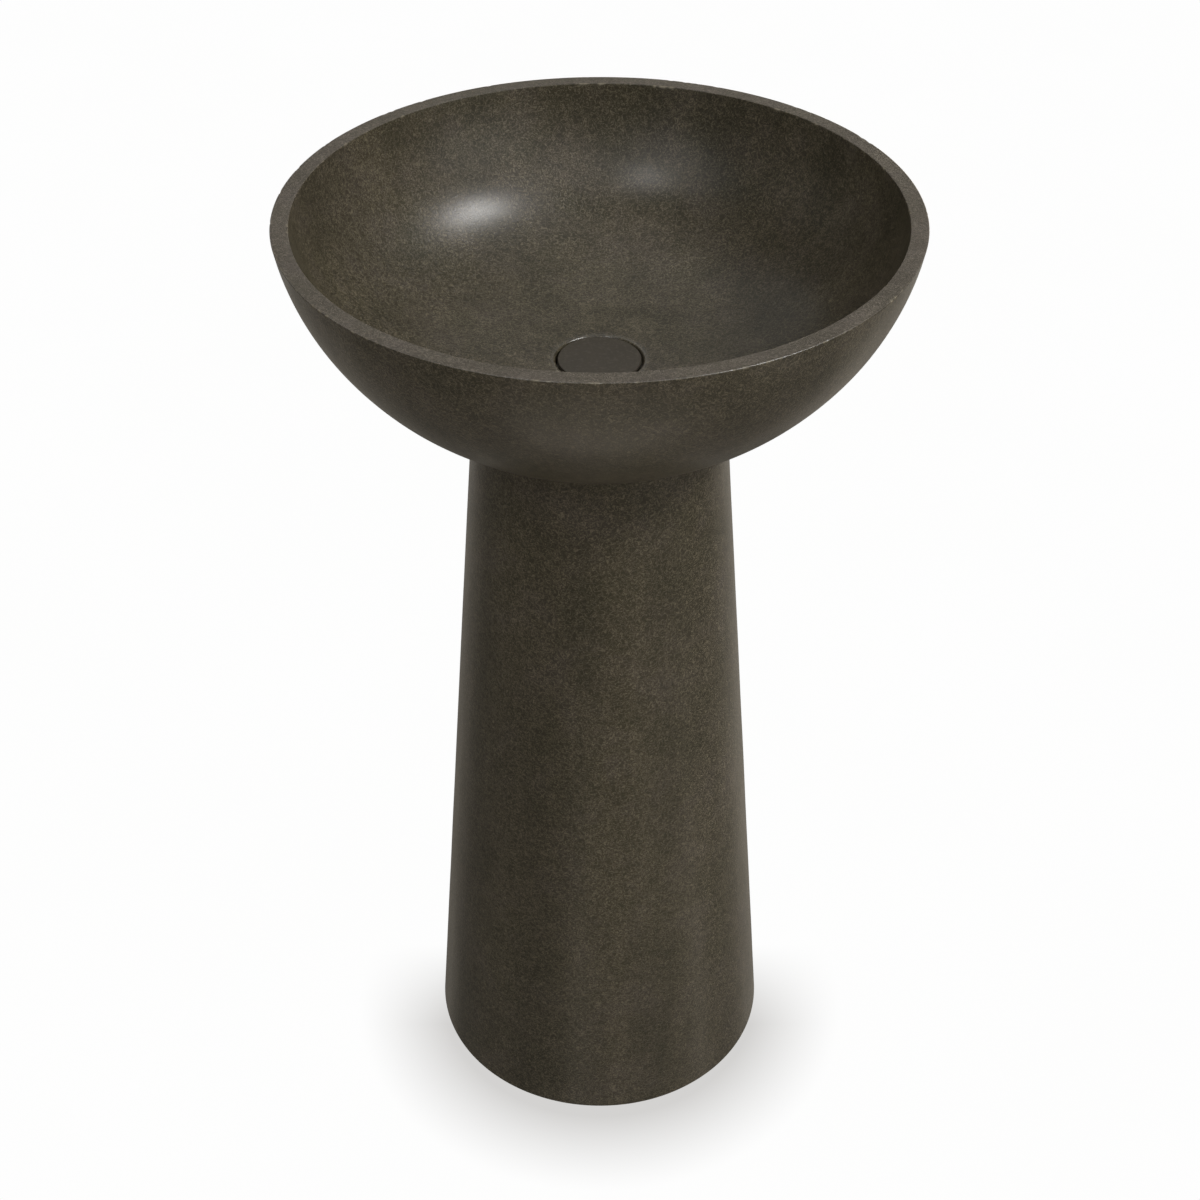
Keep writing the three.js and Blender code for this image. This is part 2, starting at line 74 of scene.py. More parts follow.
MM = 0.001
TURN = 2 * math.pi
CLEAR = 0.01  # how far a cutting shape passes the surface that it cuts
CHAMFER_SLOPE = math.radians(30)
SKIN = 0.1  # how far off a radius still counts as its surface
TINY = 1e-6
SHARP_ANGLE = 38  # degrees, above which an edge is shaded as sharp
EASED_ANGLE = 40  # degrees, above which an edge is rounded
INWARDS, OUTWARDS = -1, 1  # which way a thread is cut


# ------------------------------------------------------------------ places taken from the frame

def extent(node, axis="z"):
    """Outer radius, lowest and highest station along its axis of a round CAD node, in millimetres."""
    low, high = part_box(node)
    return high.x / MM, getattr(low, axis) / MM, getattr(high, axis) / MM


def span_in_wall(node):
    """How near to the column's axis and how far from it a floor fixing reaches, in millimetres."""
    return sorted(abs(corner.x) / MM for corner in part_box(node))


RIM_RADIUS, FOOT_HEIGHT, RIM_HEIGHT = extent("basin_bowl")
BASE_RADIUS, FLOOR, COLUMN_TOP = extent("pedestal_column")
OUTLET_HEIGHT = (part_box("outlet_pipe")[0].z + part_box("outlet_pipe")[1].z) / 2 / MM
NECK_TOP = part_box("trap_body")[1].z / MM
BRANCH_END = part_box("trap_body")[1].y / MM

# Bowl
RIM_WALL = 14
FOOT_RADIUS = 104
DISH_HEIGHT = FOOT_HEIGHT + 42
RECESS_RADIUS = 34.5
RECESS_FLOOR = DISH_HEIGHT - 7.2
DRAIN_RADIUS = 22.5

# Column
COLUMN_WALL = 24
COLUMN_TOP_RADIUS = 102
OPENING_HALF = 60
OPENING_SPRING = 560

# Push waste
TAIL_RADIUS = 21
TAIL_BORE = 18.5
WASTE_PITCH = 2.309  # G 1 1/4, eleven threads to the inch
WASTE_SPIDER_TOP = 702
PLUNGER_ROD = 2.6
ROD_PITCH = 0.8

# Bottle trap
RUN = 0.6  # radial gap round a piece that turns or slides
PIPE_RADIUS = 16
PIPE_BORE = 14.8
SOCKET_RADIUS = 21
UNION_RADIUS = 26
UNION_HALF = 11
UNION_LIP = 6
UNION_PITCH = 2
UNION_DEPTH = 0.7
CHAMBER_RADIUS = 26
CHAMBER_TOP = OUTLET_HEIGHT + 19
BODY_SHOULDER = OUTLET_HEIGHT - 24
SKIRT_RADIUS = 28.6
TRAP_RADIUS = 30
BAND_RADIUS = 34
CUP_WALL = 2.4
CUP_PITCH = 3

# Floor brackets
STRIP = 3
SLOT_RADIUS = 4.5
SLOT_ENDS = (95.5, 106.5)
BOLT_HEIGHT = 26
BOLT_RADIUS = 4
BOLT_PITCH = 1.25
HEAD_CORNER = 7.5

# Along the wall pipe local +Z is the way out, and an upturned piece hangs from its socket's mouth.
ALONG_PIPE = Matrix.Translation((0, 0, OUTLET_HEIGHT * MM)) @ Matrix.Rotation(-math.pi / 2, 4, "X")
UPTURNED = Matrix.Rotation(math.pi, 4, "X")
AT_NECK = Matrix.Translation((0, 0, NECK_TOP * MM)) @ UPTURNED
AT_BRANCH = ALONG_PIPE @ Matrix.Translation((0, 0, BRANCH_END * MM)) @ UPTURNED

# The two brackets are half a turn apart, and a bolt's own +Z points out through the column's wall.
SIDE_TURN = {"right": Matrix.Identity(4), "left": Matrix.Rotation(math.pi, 4, "Z")}
THROUGH_WALL = Matrix.Translation((0, 0, BOLT_HEIGHT * MM)) @ Matrix.Rotation(math.pi / 2, 4, "Y")
FIXING = {side: turn @ THROUGH_WALL for side, turn in SIDE_TURN.items()}


# ------------------------------------------------------------------ outlines

def bezier(a, b, c, d, steps):
    """Points on a cubic curve, both ends included."""
    t = np.linspace(0, 1, steps + 1)[:, None]
    a, b, c, d = (np.array(p, float) for p in (a, b, c, d))
    points = (1 - t) ** 3 * a + 3 * (1 - t) ** 2 * t * b + 3 * (1 - t) * t**2 * c + t**3 * d
    return [tuple(p) for p in points]


def straight(a, b, step):
    """Points from a to b, about a step apart, without b."""
    a, b = np.array(a, float), np.array(b, float)
    count = max(1, round(np.linalg.norm(b - a) / step))
    return [tuple(a + (b - a) * i / count) for i in range(count)]


def rounded(corners, steps=4, closed=True):
    """An outline with arcs in place of its corners. A corner is (r, z) or (r, z, radius)."""
    made = []
    count = len(corners)
    for i, corner in enumerate(corners):
        point = np.array(corner[:2], float)
        radius = corner[2] if len(corner) > 2 else 0
        if not radius or (not closed and i in (0, count - 1)):
            made.append(tuple(point))
            continue
        before = np.array(corners[i - 1][:2], float) - point
        after = np.array(corners[(i + 1) % count][:2], float) - point
        before /= np.linalg.norm(before)
        after /= np.linalg.norm(after)
        half = math.acos(np.clip(before @ after, -1, 1)) / 2
        reach = radius / math.tan(half)
        middle = point + (before + after) / np.linalg.norm(before + after) * radius / math.sin(half)
        start, end = point + before * reach - middle, point + after * reach - middle
        sweep = math.pi - 2 * half
        for k in range(steps + 1):
            share = k / steps
            weight = [math.sin((1 - share) * sweep), math.sin(share * sweep)]
            made.append(tuple(middle + (start * weight[0] + end * weight[1]) / math.sin(sweep)))
    return made


# ------------------------------------------------------------------ meshes

def make_piece(name, vertices, faces, place=None, sharp=SHARP_ANGLE):
    """A mesh object in metres from vertices in millimetres, smooth but for edges sharper than that."""
    mesh = bpy.data.meshes.new(name)
    mesh.from_pydata((np.array(vertices, float) * MM).tolist(), [], faces)
    if place:
        mesh.transform(place)
    piece = bpy.data.objects.new(name, mesh)
    bpy.context.scene.collection.objects.link(piece)
    smooth(piece, sharp)
    return piece


def smooth(piece, sharp=SHARP_ANGLE):
    mesh = piece.data
    mesh.polygons.foreach_set("use_smooth", [True] * len(mesh.polygons))
    mesh.set_sharp_from_angle(angle=math.radians(sharp))
    mesh.update()


def turned(outline, segments, offsets=(), closed=True):
    """Vertices and faces of an outline (r, z) turned about Z, anticlockwise for faces that point out.

    A point on the axis becomes one vertex. segments is one count or one for each point, where a
    point's count may be a multiple of its neighbour's. Each offset(r, z, angles) is added to the radii."""
    counts = [segments] * len(outline) if isinstance(segments, int) else segments
    vertices = []
    rows = []
    for (r, z), count in zip(outline, counts):
        first = len(vertices)
        if r < TINY:
            vertices.append((0.0, 0.0, z))
            rows.append([first])
            continue
        angles = np.arange(count) * TURN / count
        radii = np.full(count, float(r)) + sum(offset(r, z, angles) for offset in offsets)
        vertices.extend(zip(radii * np.cos(angles), radii * np.sin(angles), [z] * count))
        rows.append(list(range(first, first + count)))
    faces = []
    pairs = list(zip(rows, rows[1:]))
    if closed:
        pairs.append((rows[-1], rows[0]))
    for a, b in pairs:
        faces.extend(between(a, b))
    return vertices, faces


def between(a, b):
    """Faces between two rings, the first below the second seen from outside."""
    if len(a) == 1 and len(b) == 1:
        return []
    if len(a) == 1:
        return [(a[0], b[(i + 1) % len(b)], b[i]) for i in range(len(b))]
    if len(b) == 1:
        return [(a[i], a[(i + 1) % len(a)], b[0]) for i in range(len(a))]
    faces = []
    small = min(len(a), len(b))
    ka, kb = len(a) // small, len(b) // small
    for i in range(small):
        low = [a[(i * ka + k) % len(a)] for k in range(ka + 1)]
        high = [b[(i * kb + k) % len(b)] for k in range(kb + 1)]
        faces.append(tuple(low + high[::-1]))
    return faces


def turned_piece(name, outline, segments=96, offsets=(), place=None, closed=True, sharp=SHARP_ANGLE):
    vertices, faces = turned(outline, segments, offsets, closed)
    return make_piece(name, vertices, faces, place, sharp)


def finer(outline, step, closed=True):
    """The same outline with its upright runs split, so that a thread or ribs can shape them."""
    made = []
    for a, b in zip(outline, outline[1:] + outline[:1]):
        upright = abs(b[1] - a[1]) > abs(b[0] - a[0])
        made += straight(a, b, step) if upright else [a]
    if not closed:
        made = made[:made.index(outline[-1]) + 1]
    return made


def ring_outline(inner, outer, low, high, edge=0.3):
    """A plain ring's section with its four corners rounded."""
    corners = [(inner, low), (outer, low), (outer, high), (inner, high)]
    return rounded([(*corner, edge) for corner in corners], 3)


def thread(pitch, depth, low, high, radius, direction=INWARDS):
    """An offset for turned(): a helical thread between two heights, fading at its ends, cut into the
    surface of a radius."""
    def offset(r, z, angles):
        if abs(r - radius) >= SKIN:
            return np.zeros(len(angles))
        fade = np.clip(min(z - low, high - z) / pitch, 0, 1)
        phase = (z / pitch - angles / TURN) % 1
        return direction * depth * fade * (1 - np.abs(2 * phase - 1))
    return offset


def ribs(count, depth, low, high, inner, fade_over=1.2):
    """An offset for turned(): grip grooves sunk into an outer surface between two heights."""
    def offset(r, z, angles):
        if r < inner:
            return np.zeros(len(angles))
        fade = np.clip(min(z - low, high - z) / fade_over, 0, 1)
        return -depth * fade * (0.5 - 0.5 * np.cos(angles * count)) ** 2
    return offset


def prism(name, outline, low, high, place=None):
    """A straight prism along Z over a flat outline (x, y)."""
    count = len(outline)
    vertices = [(x, y, low) for x, y in outline] + [(x, y, high) for x, y in outline]
    faces = [tuple(range(count))[::-1], tuple(range(count, 2 * count))]
    faces += [(i, (i + 1) % count, (i + 1) % count + count, i + count) for i in range(count)]
    return make_piece(name, vertices, faces, place)


def apply_modifiers(piece):
    graph = bpy.context.evaluated_depsgraph_get()
    made = bpy.data.meshes.new_from_object(piece.evaluated_get(graph))
    piece.modifiers.clear()
    piece.data = made
    return piece


def combine(piece, other, operation):
    """Joins, cuts or intersects a piece with another, which is used up."""
    modifier = piece.modifiers.new("combine", "BOOLEAN")
    modifier.operation = operation
    modifier.object = other
    modifier.solver = "EXACT"
    apply_modifiers(piece)
    bpy.data.objects.remove(other)
    return piece


def ease_edges(piece, width, segments=3):
    """Rounds a piece's edges by a width in millimetres."""
    modifier = piece.modifiers.new("eased_edges", "BEVEL")
    modifier.width = width * MM
    modifier.segments = segments
    modifier.limit_method = "ANGLE"
    modifier.angle_limit = math.radians(EASED_ANGLE)
    modifier.use_clamp_overlap = True
    apply_modifiers(piece)
    smooth(piece)
    return piece


def hex_body(name, corner, low, high, chamfer):
    """A hexagon about Z whose corners are chamfered at both ends, as a nut's or a bolt head's are."""
    flat = [(corner * math.cos(TURN * i / 6), corner * math.sin(TURN * i / 6)) for i in range(6)]
    body = prism(name, flat, low, high)
    narrow, wide = corner - chamfer, corner + chamfer
    drop = 2 * chamfer * math.tan(CHAMFER_SLOPE)
    cone = [
        (0, low - CLEAR), (narrow, low - CLEAR), (wide, low + drop), (wide, (low + high) / 2),
        (wide, high - drop), (narrow, high + CLEAR), (0, high + CLEAR),
    ]
    return combine(body, turned_piece("cone", cone, 96, closed=False), "INTERSECT")


# ------------------------------------------------------------------ materials

def new_material(name):
    material = bpy.data.materials.new(name)
    material.use_nodes = True
    return material, material.node_tree, material.node_tree.nodes["Principled BSDF"]


def add_node(tree, kind, inputs=None, **settings):
    """A shader node with settings, and with inputs given as values or as other nodes' outputs."""
    made = tree.nodes.new(kind)
    for key, value in settings.items():
        setattr(made, key, value)
    feed(tree, made, inputs or {})
    return made


def feed(tree, node, inputs):
    for key, value in inputs.items():
        if isinstance(value, bpy.types.NodeSocket):
            tree.links.new(value, node.inputs[key])
        else:
            node.inputs[key].default_value = value


def own_place(tree, stretch=(1, 1, 1)):
    """The point's place on its piece, stretched."""
    place = add_node(tree, "ShaderNodeTexCoord").outputs["Object"]
    if stretch == (1, 1, 1):
        return place
    return add_node(tree, "ShaderNodeMapping", {"Vector": place, "Scale": stretch}).outputs["Vector"]


def noise_at(tree, place, scale, detail=4, roughness=0.55, distortion=0):
    return add_node(tree, "ShaderNodeTexNoise", {
        "Vector": place, "Scale": scale, "Detail": detail, "Roughness": roughness,
        "Distortion": distortion,
    }).outputs["Fac"]


def cells_at(tree, place, scale):
    """The distance to the nearest of scattered points."""
    return add_node(tree, "ShaderNodeTexVoronoi", {"Vector": place, "Scale": scale}).outputs["Distance"]


def remap(tree, value, low, high, to_low=0.0, to_high=1.0):
    return add_node(tree, "ShaderNodeMapRange", {
        "Value": value, "From Min": low, "From Max": high, "To Min": to_low, "To Max": to_high,
    }).outputs["Result"]


def mix_colors(tree, share, a, b, blend="MIX"):
    a, b = (color if isinstance(color, bpy.types.NodeSocket) else (*color, 1) for color in (a, b))
    inputs = {0: share, 6: a, 7: b}
    return add_node(tree, "ShaderNodeMix", inputs, data_type="RGBA", blend_type=blend).outputs[2]


def shaded(tree, color, shade):
    return mix_colors(tree, 1.0, color, shade, "MULTIPLY")


def math_of(tree, operation, a, b):
    return add_node(tree, "ShaderNodeMath", {0: a, 1: b}, operation=operation).outputs[0]


def product(tree, a, b):
    return math_of(tree, "MULTIPLY", a, b)


def mark_on(tree, name):
    """A number that the mesh carries at each of its points, from 0 to 1."""
    return add_node(tree, "ShaderNodeAttribute", attribute_name=name).outputs["Fac"]


def bump_of(tree, height, distance, strength=1.0, normal=None):
    inputs = {"Height": height, "Distance": distance, "Strength": strength}
    if normal is not None:
        inputs["Normal"] = normal
    return add_node(tree, "ShaderNodeBump", inputs).outputs["Normal"]


STONE_OLIVE = (0.052, 0.0440, 0.0262)
STONE_BROWN = (0.058, 0.0480, 0.0310)
STONE_GREY = (0.060, 0.0495, 0.0378)
STONE_GREEN = (0.044, 0.0385, 0.0205)
GRAIN_PALE = (0.160, 0.136, 0.091)
GRAIN_DARK = (0.013, 0.0105, 0.0065)
GRAIN_FINE = (0.110, 0.094, 0.064)
SAND_PALE = (0.20, 0.17, 0.12)
SAND_DARK = (0.006, 0.005, 0.004)
SAWN_BLEACH = (1.37, 1.39, 1.66)  # what sawing multiplies the stone's colour by
SAWN_DUST = (0.096, 0.085, 0.068)
STONE_FRESH = (0.24, 0.21, 0.155)
RUBBER_BLACK = (0.012, 0.012, 0.013)
RUBBER_BLOOM = (0.035, 0.034, 0.033)
NYLON_WHITE = (0.70, 0.68, 0.62)
NYLON_CREAM = (0.62, 0.60, 0.53)
COAT_DARK = (0.044, 0.0375, 0.0270)
COAT_LIGHT = (0.053, 0.0450, 0.0330)
COAT_SPECK = (0.078, 0.066, 0.054)


def cast_stone():
    """Dark olive-brown cast stone with a curly fine grain and a waxed satin surface.

    Three marks on the mesh change it: "chipped" is fresh broken stone, "ground" is sawn flat and only
    rubbed smooth, and "polished" is an edge that a tool has burnished."""
    material, tree, shader = new_material("cast_stone")
    place = own_place(tree)

    cloud = noise_at(tree, place, 7, 4, 0.55, 0.3)
    patch = noise_at(tree, place, 24, 4, 0.6, 0.3)
    curls = noise_at(tree, place, 300, 1, 0.5, 1.0)
    fine = noise_at(tree, place, 620, 2, 0.6, 0.6)
    streak = noise_at(tree, own_place(tree, (26, 26, 2.2)), 1, 4, 0.55)

    color = mix_colors(tree, remap(tree, cloud, 0.36, 0.64), STONE_OLIVE, STONE_BROWN)
    color = mix_colors(tree, remap(tree, patch, 0.50, 0.68, 0, 0.7), color, STONE_GREY)
    color = mix_colors(tree, remap(tree, patch, 0.50, 0.32, 0, 0.7), color, STONE_GREEN)
    # The grain's pale curls follow the level lines of a noise, and it is darkest between them.
    from_line = math_of(tree, "ABSOLUTE", math_of(tree, "SUBTRACT", curls, 0.5), 0)
    curl = product(tree, remap(tree, from_line, 0.042, 0.008), remap(tree, fine, 0.30, 0.50))
    hollow = remap(tree, from_line, 0.05, 0.15)
    color = mix_colors(tree, product(tree, curl, 0.80), color, GRAIN_PALE)
    color = mix_colors(tree, product(tree, hollow, 0.38), color, GRAIN_DARK)
    color = mix_colors(tree, remap(tree, fine, 0.57, 0.73, 0, 0.7), color, GRAIN_FINE)
    for field, dim, bright in ((streak, 0.87, 1.13), (patch, 0.92, 1.08)):
        shade = remap(tree, field, 0.35, 0.65, dim, bright)
        color = shaded(tree, color, shade)

    # Painted shade: the stone is darkened by up to a fifth over its lowest 28 cm, towards the floor.
    height = add_node(tree, "ShaderNodeSeparateXYZ", {"Vector": place}).outputs["Z"]
    color = shaded(tree, color, remap(tree, height, 0.02, 0.28, 0.80, 1))

    # Sparse pale and dark grains of sand.
    pale = cells_at(tree, place, 330)
    dark = cells_at(tree, own_place(tree, (1.01, 0.97, 1.03)), 260)
    rare = noise_at(tree, place, 90, 2)
    pale_spot = product(tree, remap(tree, pale, 0.20, 0.08), remap(tree, rare, 0.54, 0.64))
    dark_spot = product(tree, remap(tree, dark, 0.24, 0.12), remap(tree, rare, 0.46, 0.36))
    color = mix_colors(tree, product(tree, pale_spot, 0.5), color, SAND_PALE)
    color = mix_colors(tree, product(tree, dark_spot, 0.6), color, SAND_DARK)

    chipped = mark_on(tree, "chipped")
    ground = mark_on(tree, "ground")
    polished = mark_on(tree, "polished")
    sawn = mix_colors(tree, 0.45, shaded(tree, color, SAWN_BLEACH), SAWN_DUST)
    color = mix_colors(tree, ground, color, sawn)
    color = mix_colors(tree, product(tree, chipped, 0.8), color, STONE_FRESH)

    gloss = remap(tree, cloud, 0.3, 0.7, 0.37, 0.42)
    for change in (
        remap(tree, fine, 0.3, 0.7, -0.04, 0.05), remap(tree, streak, 0.4, 0.65, 0.03, -0.05),
        product(tree, ground, 0.12), product(tree, chipped, 0.35), product(tree, polished, -0.2),
    ):
        gloss = math_of(tree, "ADD", gloss, change)
    # There is no wax where the stone is sawn or broken.
    bare = math_of(tree, "MAXIMUM", ground, chipped)
    wax = math_of(tree, "MAXIMUM", remap(tree, bare, 0, 1, 0.40, 0), polished)

    swell = bump_of(tree, patch, 0.0006, 0.25)
    raised = math_of(tree, "SUBTRACT", curl, hollow)
    sand = bump_of(tree, raised, 0.00012, 0.7, swell)
    pits = math_of(tree, "ADD", pale_spot, dark_spot)
    pitted = bump_of(tree, remap(tree, pits, 0, 1, 1, 0), 0.0003, 0.6, sand)
    feed(tree, shader, {
        "Base Color": color, "Roughness": gloss, "Specular IOR Level": 0.18, "Coat Weight": wax,
        "Coat Roughness": 0.29, "Normal": pitted,
    })
    return material


def metal(name, color, roughness, scratch=0.04, bump=0.00001, dirt=(0.25, 0.24, 0.22)):
    """Metal with fine wiping scratches and a little water film."""
    material, tree, shader = new_material(name)
    place = own_place(tree)
    film = noise_at(tree, place, 55, 5, 0.6)
    hair = noise_at(tree, own_place(tree, (160, 160, 2600)), 1, 3, 0.6)
    tint = mix_colors(tree, remap(tree, film, 0.5, 0.8, 0, 0.10), color, dirt)
    gloss = remap(tree, film, 0.35, 0.75, roughness, roughness + scratch * 1.5)
    gloss = math_of(tree, "ADD", gloss, remap(tree, hair, 0.4, 0.7, 0, scratch))
    grain = bump_of(tree, hair, bump, 0.5)
    feed(tree, shader, {"Base Color": tint, "Metallic": 1, "Roughness": gloss, "Normal": grain})
    return material


def rubber():
    material, tree, shader = new_material("rubber")
    place = own_place(tree)
    skin = noise_at(tree, place, 1400, 3)
    bloom = noise_at(tree, place, 70, 4)
    dust = remap(tree, bloom, 0.45, 0.8, 0, 0.5)
    tint = mix_colors(tree, dust, RUBBER_BLACK, RUBBER_BLOOM)
    gloss = remap(tree, bloom, 0.3, 0.7, 0.55, 0.75)
    grain = bump_of(tree, skin, 0.00005, 0.6)
    feed(tree, shader, {"Base Color": tint, "Roughness": gloss, "Normal": grain})
    return material


def nylon():
    material, tree, shader = new_material("nylon")
    place = own_place(tree)
    flow = noise_at(tree, place, 120, 4)
    tint = mix_colors(tree, remap(tree, flow, 0.35, 0.7), NYLON_WHITE, NYLON_CREAM)
    gloss = remap(tree, flow, 0.3, 0.7, 0.42, 0.55)
    grain = bump_of(tree, flow, 0.00004, 0.5)
    feed(tree, shader, {
        "Base Color": tint, "Roughness": gloss, "Normal": grain, "Subsurface Weight": 0.08,
    })
    return material


def coated():
    """The drain cap's satin grey coating, with a very fine orange peel."""
    material, tree, shader = new_material("coated_cap")
    place = own_place(tree)
    peel = noise_at(tree, place, 900, 3)
    film = noise_at(tree, place, 60, 4)
    speck = noise_at(tree, place, 420, 2, 0.6)
    tint = mix_colors(tree, remap(tree, film, 0.35, 0.7), COAT_DARK, COAT_LIGHT)
    tint = mix_colors(tree, remap(tree, speck, 0.5, 0.7, 0, 0.6), tint, COAT_SPECK)
    gloss = remap(tree, film, 0.3, 0.7, 0.40, 0.48)
    grain = bump_of(tree, peel, 0.00002, 0.5)
    feed(tree, shader, {
        "Base Color": tint, "Roughness": gloss, "Specular IOR Level": 0.3, "Normal": grain,
    })
    return material


STONE = cast_stone()
COATED = coated()
CHROME = metal("chrome", (0.80, 0.80, 0.81), 0.06)
BRASS = metal("brass", (0.60, 0.44, 0.20), 0.24, 0.08, 0.00003, (0.22, 0.15, 0.07))
STEEL = metal("zinc_steel", (0.50, 0.50, 0.51), 0.32, 0.10, 0.00003, (0.30, 0.29, 0.27))
RUBBER = rubber()
NYLON = nylon()


def dress(piece, material):
    piece.data.materials.clear()
    piece.data.materials.append(material)
    even = piece.modifiers.new("even_normals", "WEIGHTED_NORMAL")
    even.keep_sharp = True


def stand_for(node):
    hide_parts(node)


def install(piece, node, material):
    """Puts a finished piece in a CAD node's place, on the same body."""
    dress(piece, material)
    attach(piece, frame["nodes"][node]["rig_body"])
    stand_for(node)


# ------------------------------------------------------------------ stone surfaces

def vertex_array(piece):
    made = np.zeros(len(piece.data.vertices) * 3)
    piece.data.vertices.foreach_get("co", made)
    return made.reshape(-1, 3)


def normal_array(piece):
    made = np.zeros(len(piece.data.vertices) * 3)
    piece.data.vertices.foreach_get("normal", made)
    return made.reshape(-1, 3)


def paint(piece, name, values):
    """Gives every point of a piece a number, for the material to read."""
    attribute = piece.data.attributes.new(name, "FLOAT", "POINT")
    attribute.data.foreach_set("value", np.asarray(values, np.float32))


def chip(piece, edge_points, count, sizes, seed):
    """Breaks small flakes out of a piece along its edges and marks the fresh stone as "chipped".

    edge_points(random) gives a point on an edge, in metres; sizes are the flakes' radii, from and to."""
    dice = random.Random(seed)
    co = vertex_array(piece)
    inward = -normal_array(piece)
    mark = np.zeros(len(co))
    for _ in range(count):
        centre = np.array(edge_points(dice))
        radius = sizes[0] + (sizes[1] - sizes[0]) * dice.random() ** 3
        long = 1 + 1.5 * dice.random()
        along = np.array((-centre[1], centre[0], 0)) / math.hypot(centre[0], centre[1])
        offset = co - centre
        run = offset @ along
        distance = np.sqrt(np.maximum((offset**2).sum(1) - run**2, 0) + (run / long) ** 2)
        near = np.nonzero(distance < radius)[0]
        for i in near:
            rough = 0.75 + 0.5 * noise.noise(Vector(co[i]) * 1200)
            share = (1 - distance[i] / radius) * rough
            co[i] += inward[i] * share * radius * 0.55
            mark[i] = max(mark[i], min(1, share * 2.2))
    piece.data.vertices.foreach_set("co", co.ravel())
    paint(piece, "chipped", mark)
    piece.data.update()


def weather(piece, depth, size, seed):
    """Sinks a piece's surface by up to a depth, in patches of a size, both in metres."""
    co = vertex_array(piece)
    inward = -normal_array(piece)
    shift = Vector((seed * 3.1, seed * 1.7, seed * 2.3))
    for i, point in enumerate(co):
        value = noise.noise(Vector(point) / size + shift)
        co[i] = point + inward[i] * depth * (0.5 + 0.5 * value)
    piece.data.vertices.foreach_set("co", co.ravel())
    piece.data.update()


# ------------------------------------------------------------------ bowl and column

BOWL_SEGMENTS = 432
RIM_SEGMENTS = 3 * BOWL_SEGMENTS


def bowl_outline():
    """The bowl's section and each point's number of segments: three times finer at the rim."""
    rim_inside = RIM_RADIUS - RIM_WALL
    outside = bezier(
        (FOOT_RADIUS, FOOT_HEIGHT),
        (FOOT_RADIUS + 40, FOOT_HEIGHT + 15.5),
        (RIM_RADIUS - 16, RIM_HEIGHT - 101),
        (RIM_RADIUS, RIM_HEIGHT),
        52,
    )
    inside = bezier(
        (rim_inside, RIM_HEIGHT),
        (rim_inside - 12, RIM_HEIGHT - 90),
        (rim_inside - 74, DISH_HEIGHT + 3),
        (RECESS_RADIUS, DISH_HEIGHT),
        48,
    )
    plain = [(DRAIN_RADIUS, FOOT_HEIGHT + 1), (DRAIN_RADIUS, FOOT_HEIGHT)]
    plain += straight((DRAIN_RADIUS + 1, FOOT_HEIGHT), (FOOT_RADIUS - 1.2, FOOT_HEIGHT), 20)
    plain += rounded([(FOOT_RADIUS - 6, FOOT_HEIGHT), (*outside[0], 1.0), outside[1]], closed=False)[1:-1]
    plain += outside[1:-3]
    arris = 0.9
    rim_step = 1.3
    rim = rounded(
        [outside[-3], (RIM_RADIUS, RIM_HEIGHT, arris), (RIM_RADIUS - 7, RIM_HEIGHT)],
        5,
        closed=False,
    )[:-1]
    rim = straight(outside[-3], rim[1], rim_step) + rim[1:]
    inner_arris = rounded(
        [(RIM_RADIUS - 7, RIM_HEIGHT), (rim_inside, RIM_HEIGHT, arris), inside[2]],
        5,
        closed=False,
    )
    rim += straight(rim[-1], inner_arris[1], rim_step)[1:] + inner_arris[1:-1]
    rim += straight(inner_arris[-2], inside[2], rim_step)[1:]
    dish = inside[2:-1]
    dish += rounded([inside[-2], (*inside[-1], 2.0), (RECESS_RADIUS, RECESS_FLOOR)], closed=False)[1:-1]
    dish += rounded(
        [(RECESS_RADIUS, DISH_HEIGHT), (RECESS_RADIUS, RECESS_FLOOR, 0.8), (DRAIN_RADIUS, RECESS_FLOOR)],
        closed=False,
    )[1:-1]
    dish += rounded(
        [(RECESS_RADIUS, RECESS_FLOOR), (DRAIN_RADIUS, RECESS_FLOOR, 0.8), (DRAIN_RADIUS, FOOT_HEIGHT)],
        closed=False,
    )[1:-1]
    outline = plain + rim + dish
    counts = [BOWL_SEGMENTS] * len(plain) + [RIM_SEGMENTS] * len(rim) + [BOWL_SEGMENTS] * len(dish)
    return outline, counts


def rim_edge(dice):
    """A point on the rim's outer edge, or less often on its inner edge."""
    angle = dice.random() * TURN
    radius = RIM_RADIUS if dice.random() < 0.7 else RIM_RADIUS - RIM_WALL
    return (radius * MM * math.cos(angle), radius * MM * math.sin(angle), RIM_HEIGHT * MM)


def make_bowl():
    outline, counts = bowl_outline()
    piece = turned_piece("stone_bowl", outline, counts, sharp=60)
    radius = np.hypot(*vertex_array(piece)[:, :2].T) / MM
    height = vertex_array(piece)[:, 2] / MM
    paint(piece, "ground", height > RIM_HEIGHT - 0.45)
    at_recess = (abs(radius - RECESS_RADIUS) < 2.2) & (abs(height - DISH_HEIGHT) < 2.2)
    at_arris = (radius > RIM_RADIUS - 1) & (height > RIM_HEIGHT - 1)
    paint(piece, "polished", at_recess | at_arris)
    weather(piece, 0.00025, 0.05, 1)
    weather(piece, 0.00004, 0.004, 2)
    chip(piece, rim_edge, 240, (0.0006, 0.0021), 11)
    install(piece, "basin_bowl", STONE)


def column_radius(height, top_radius, base_radius):
    return base_radius + (top_radius - base_radius) * (height - FLOOR) / (COLUMN_TOP - FLOOR)


def opening_half(height):
    """Half the back opening's width at a height: straight sides and a half-round top."""
    above = height - OPENING_SPRING
    if above <= 0:
        return OPENING_HALF
    return math.sqrt(max(OPENING_HALF**2 - above**2, 0))


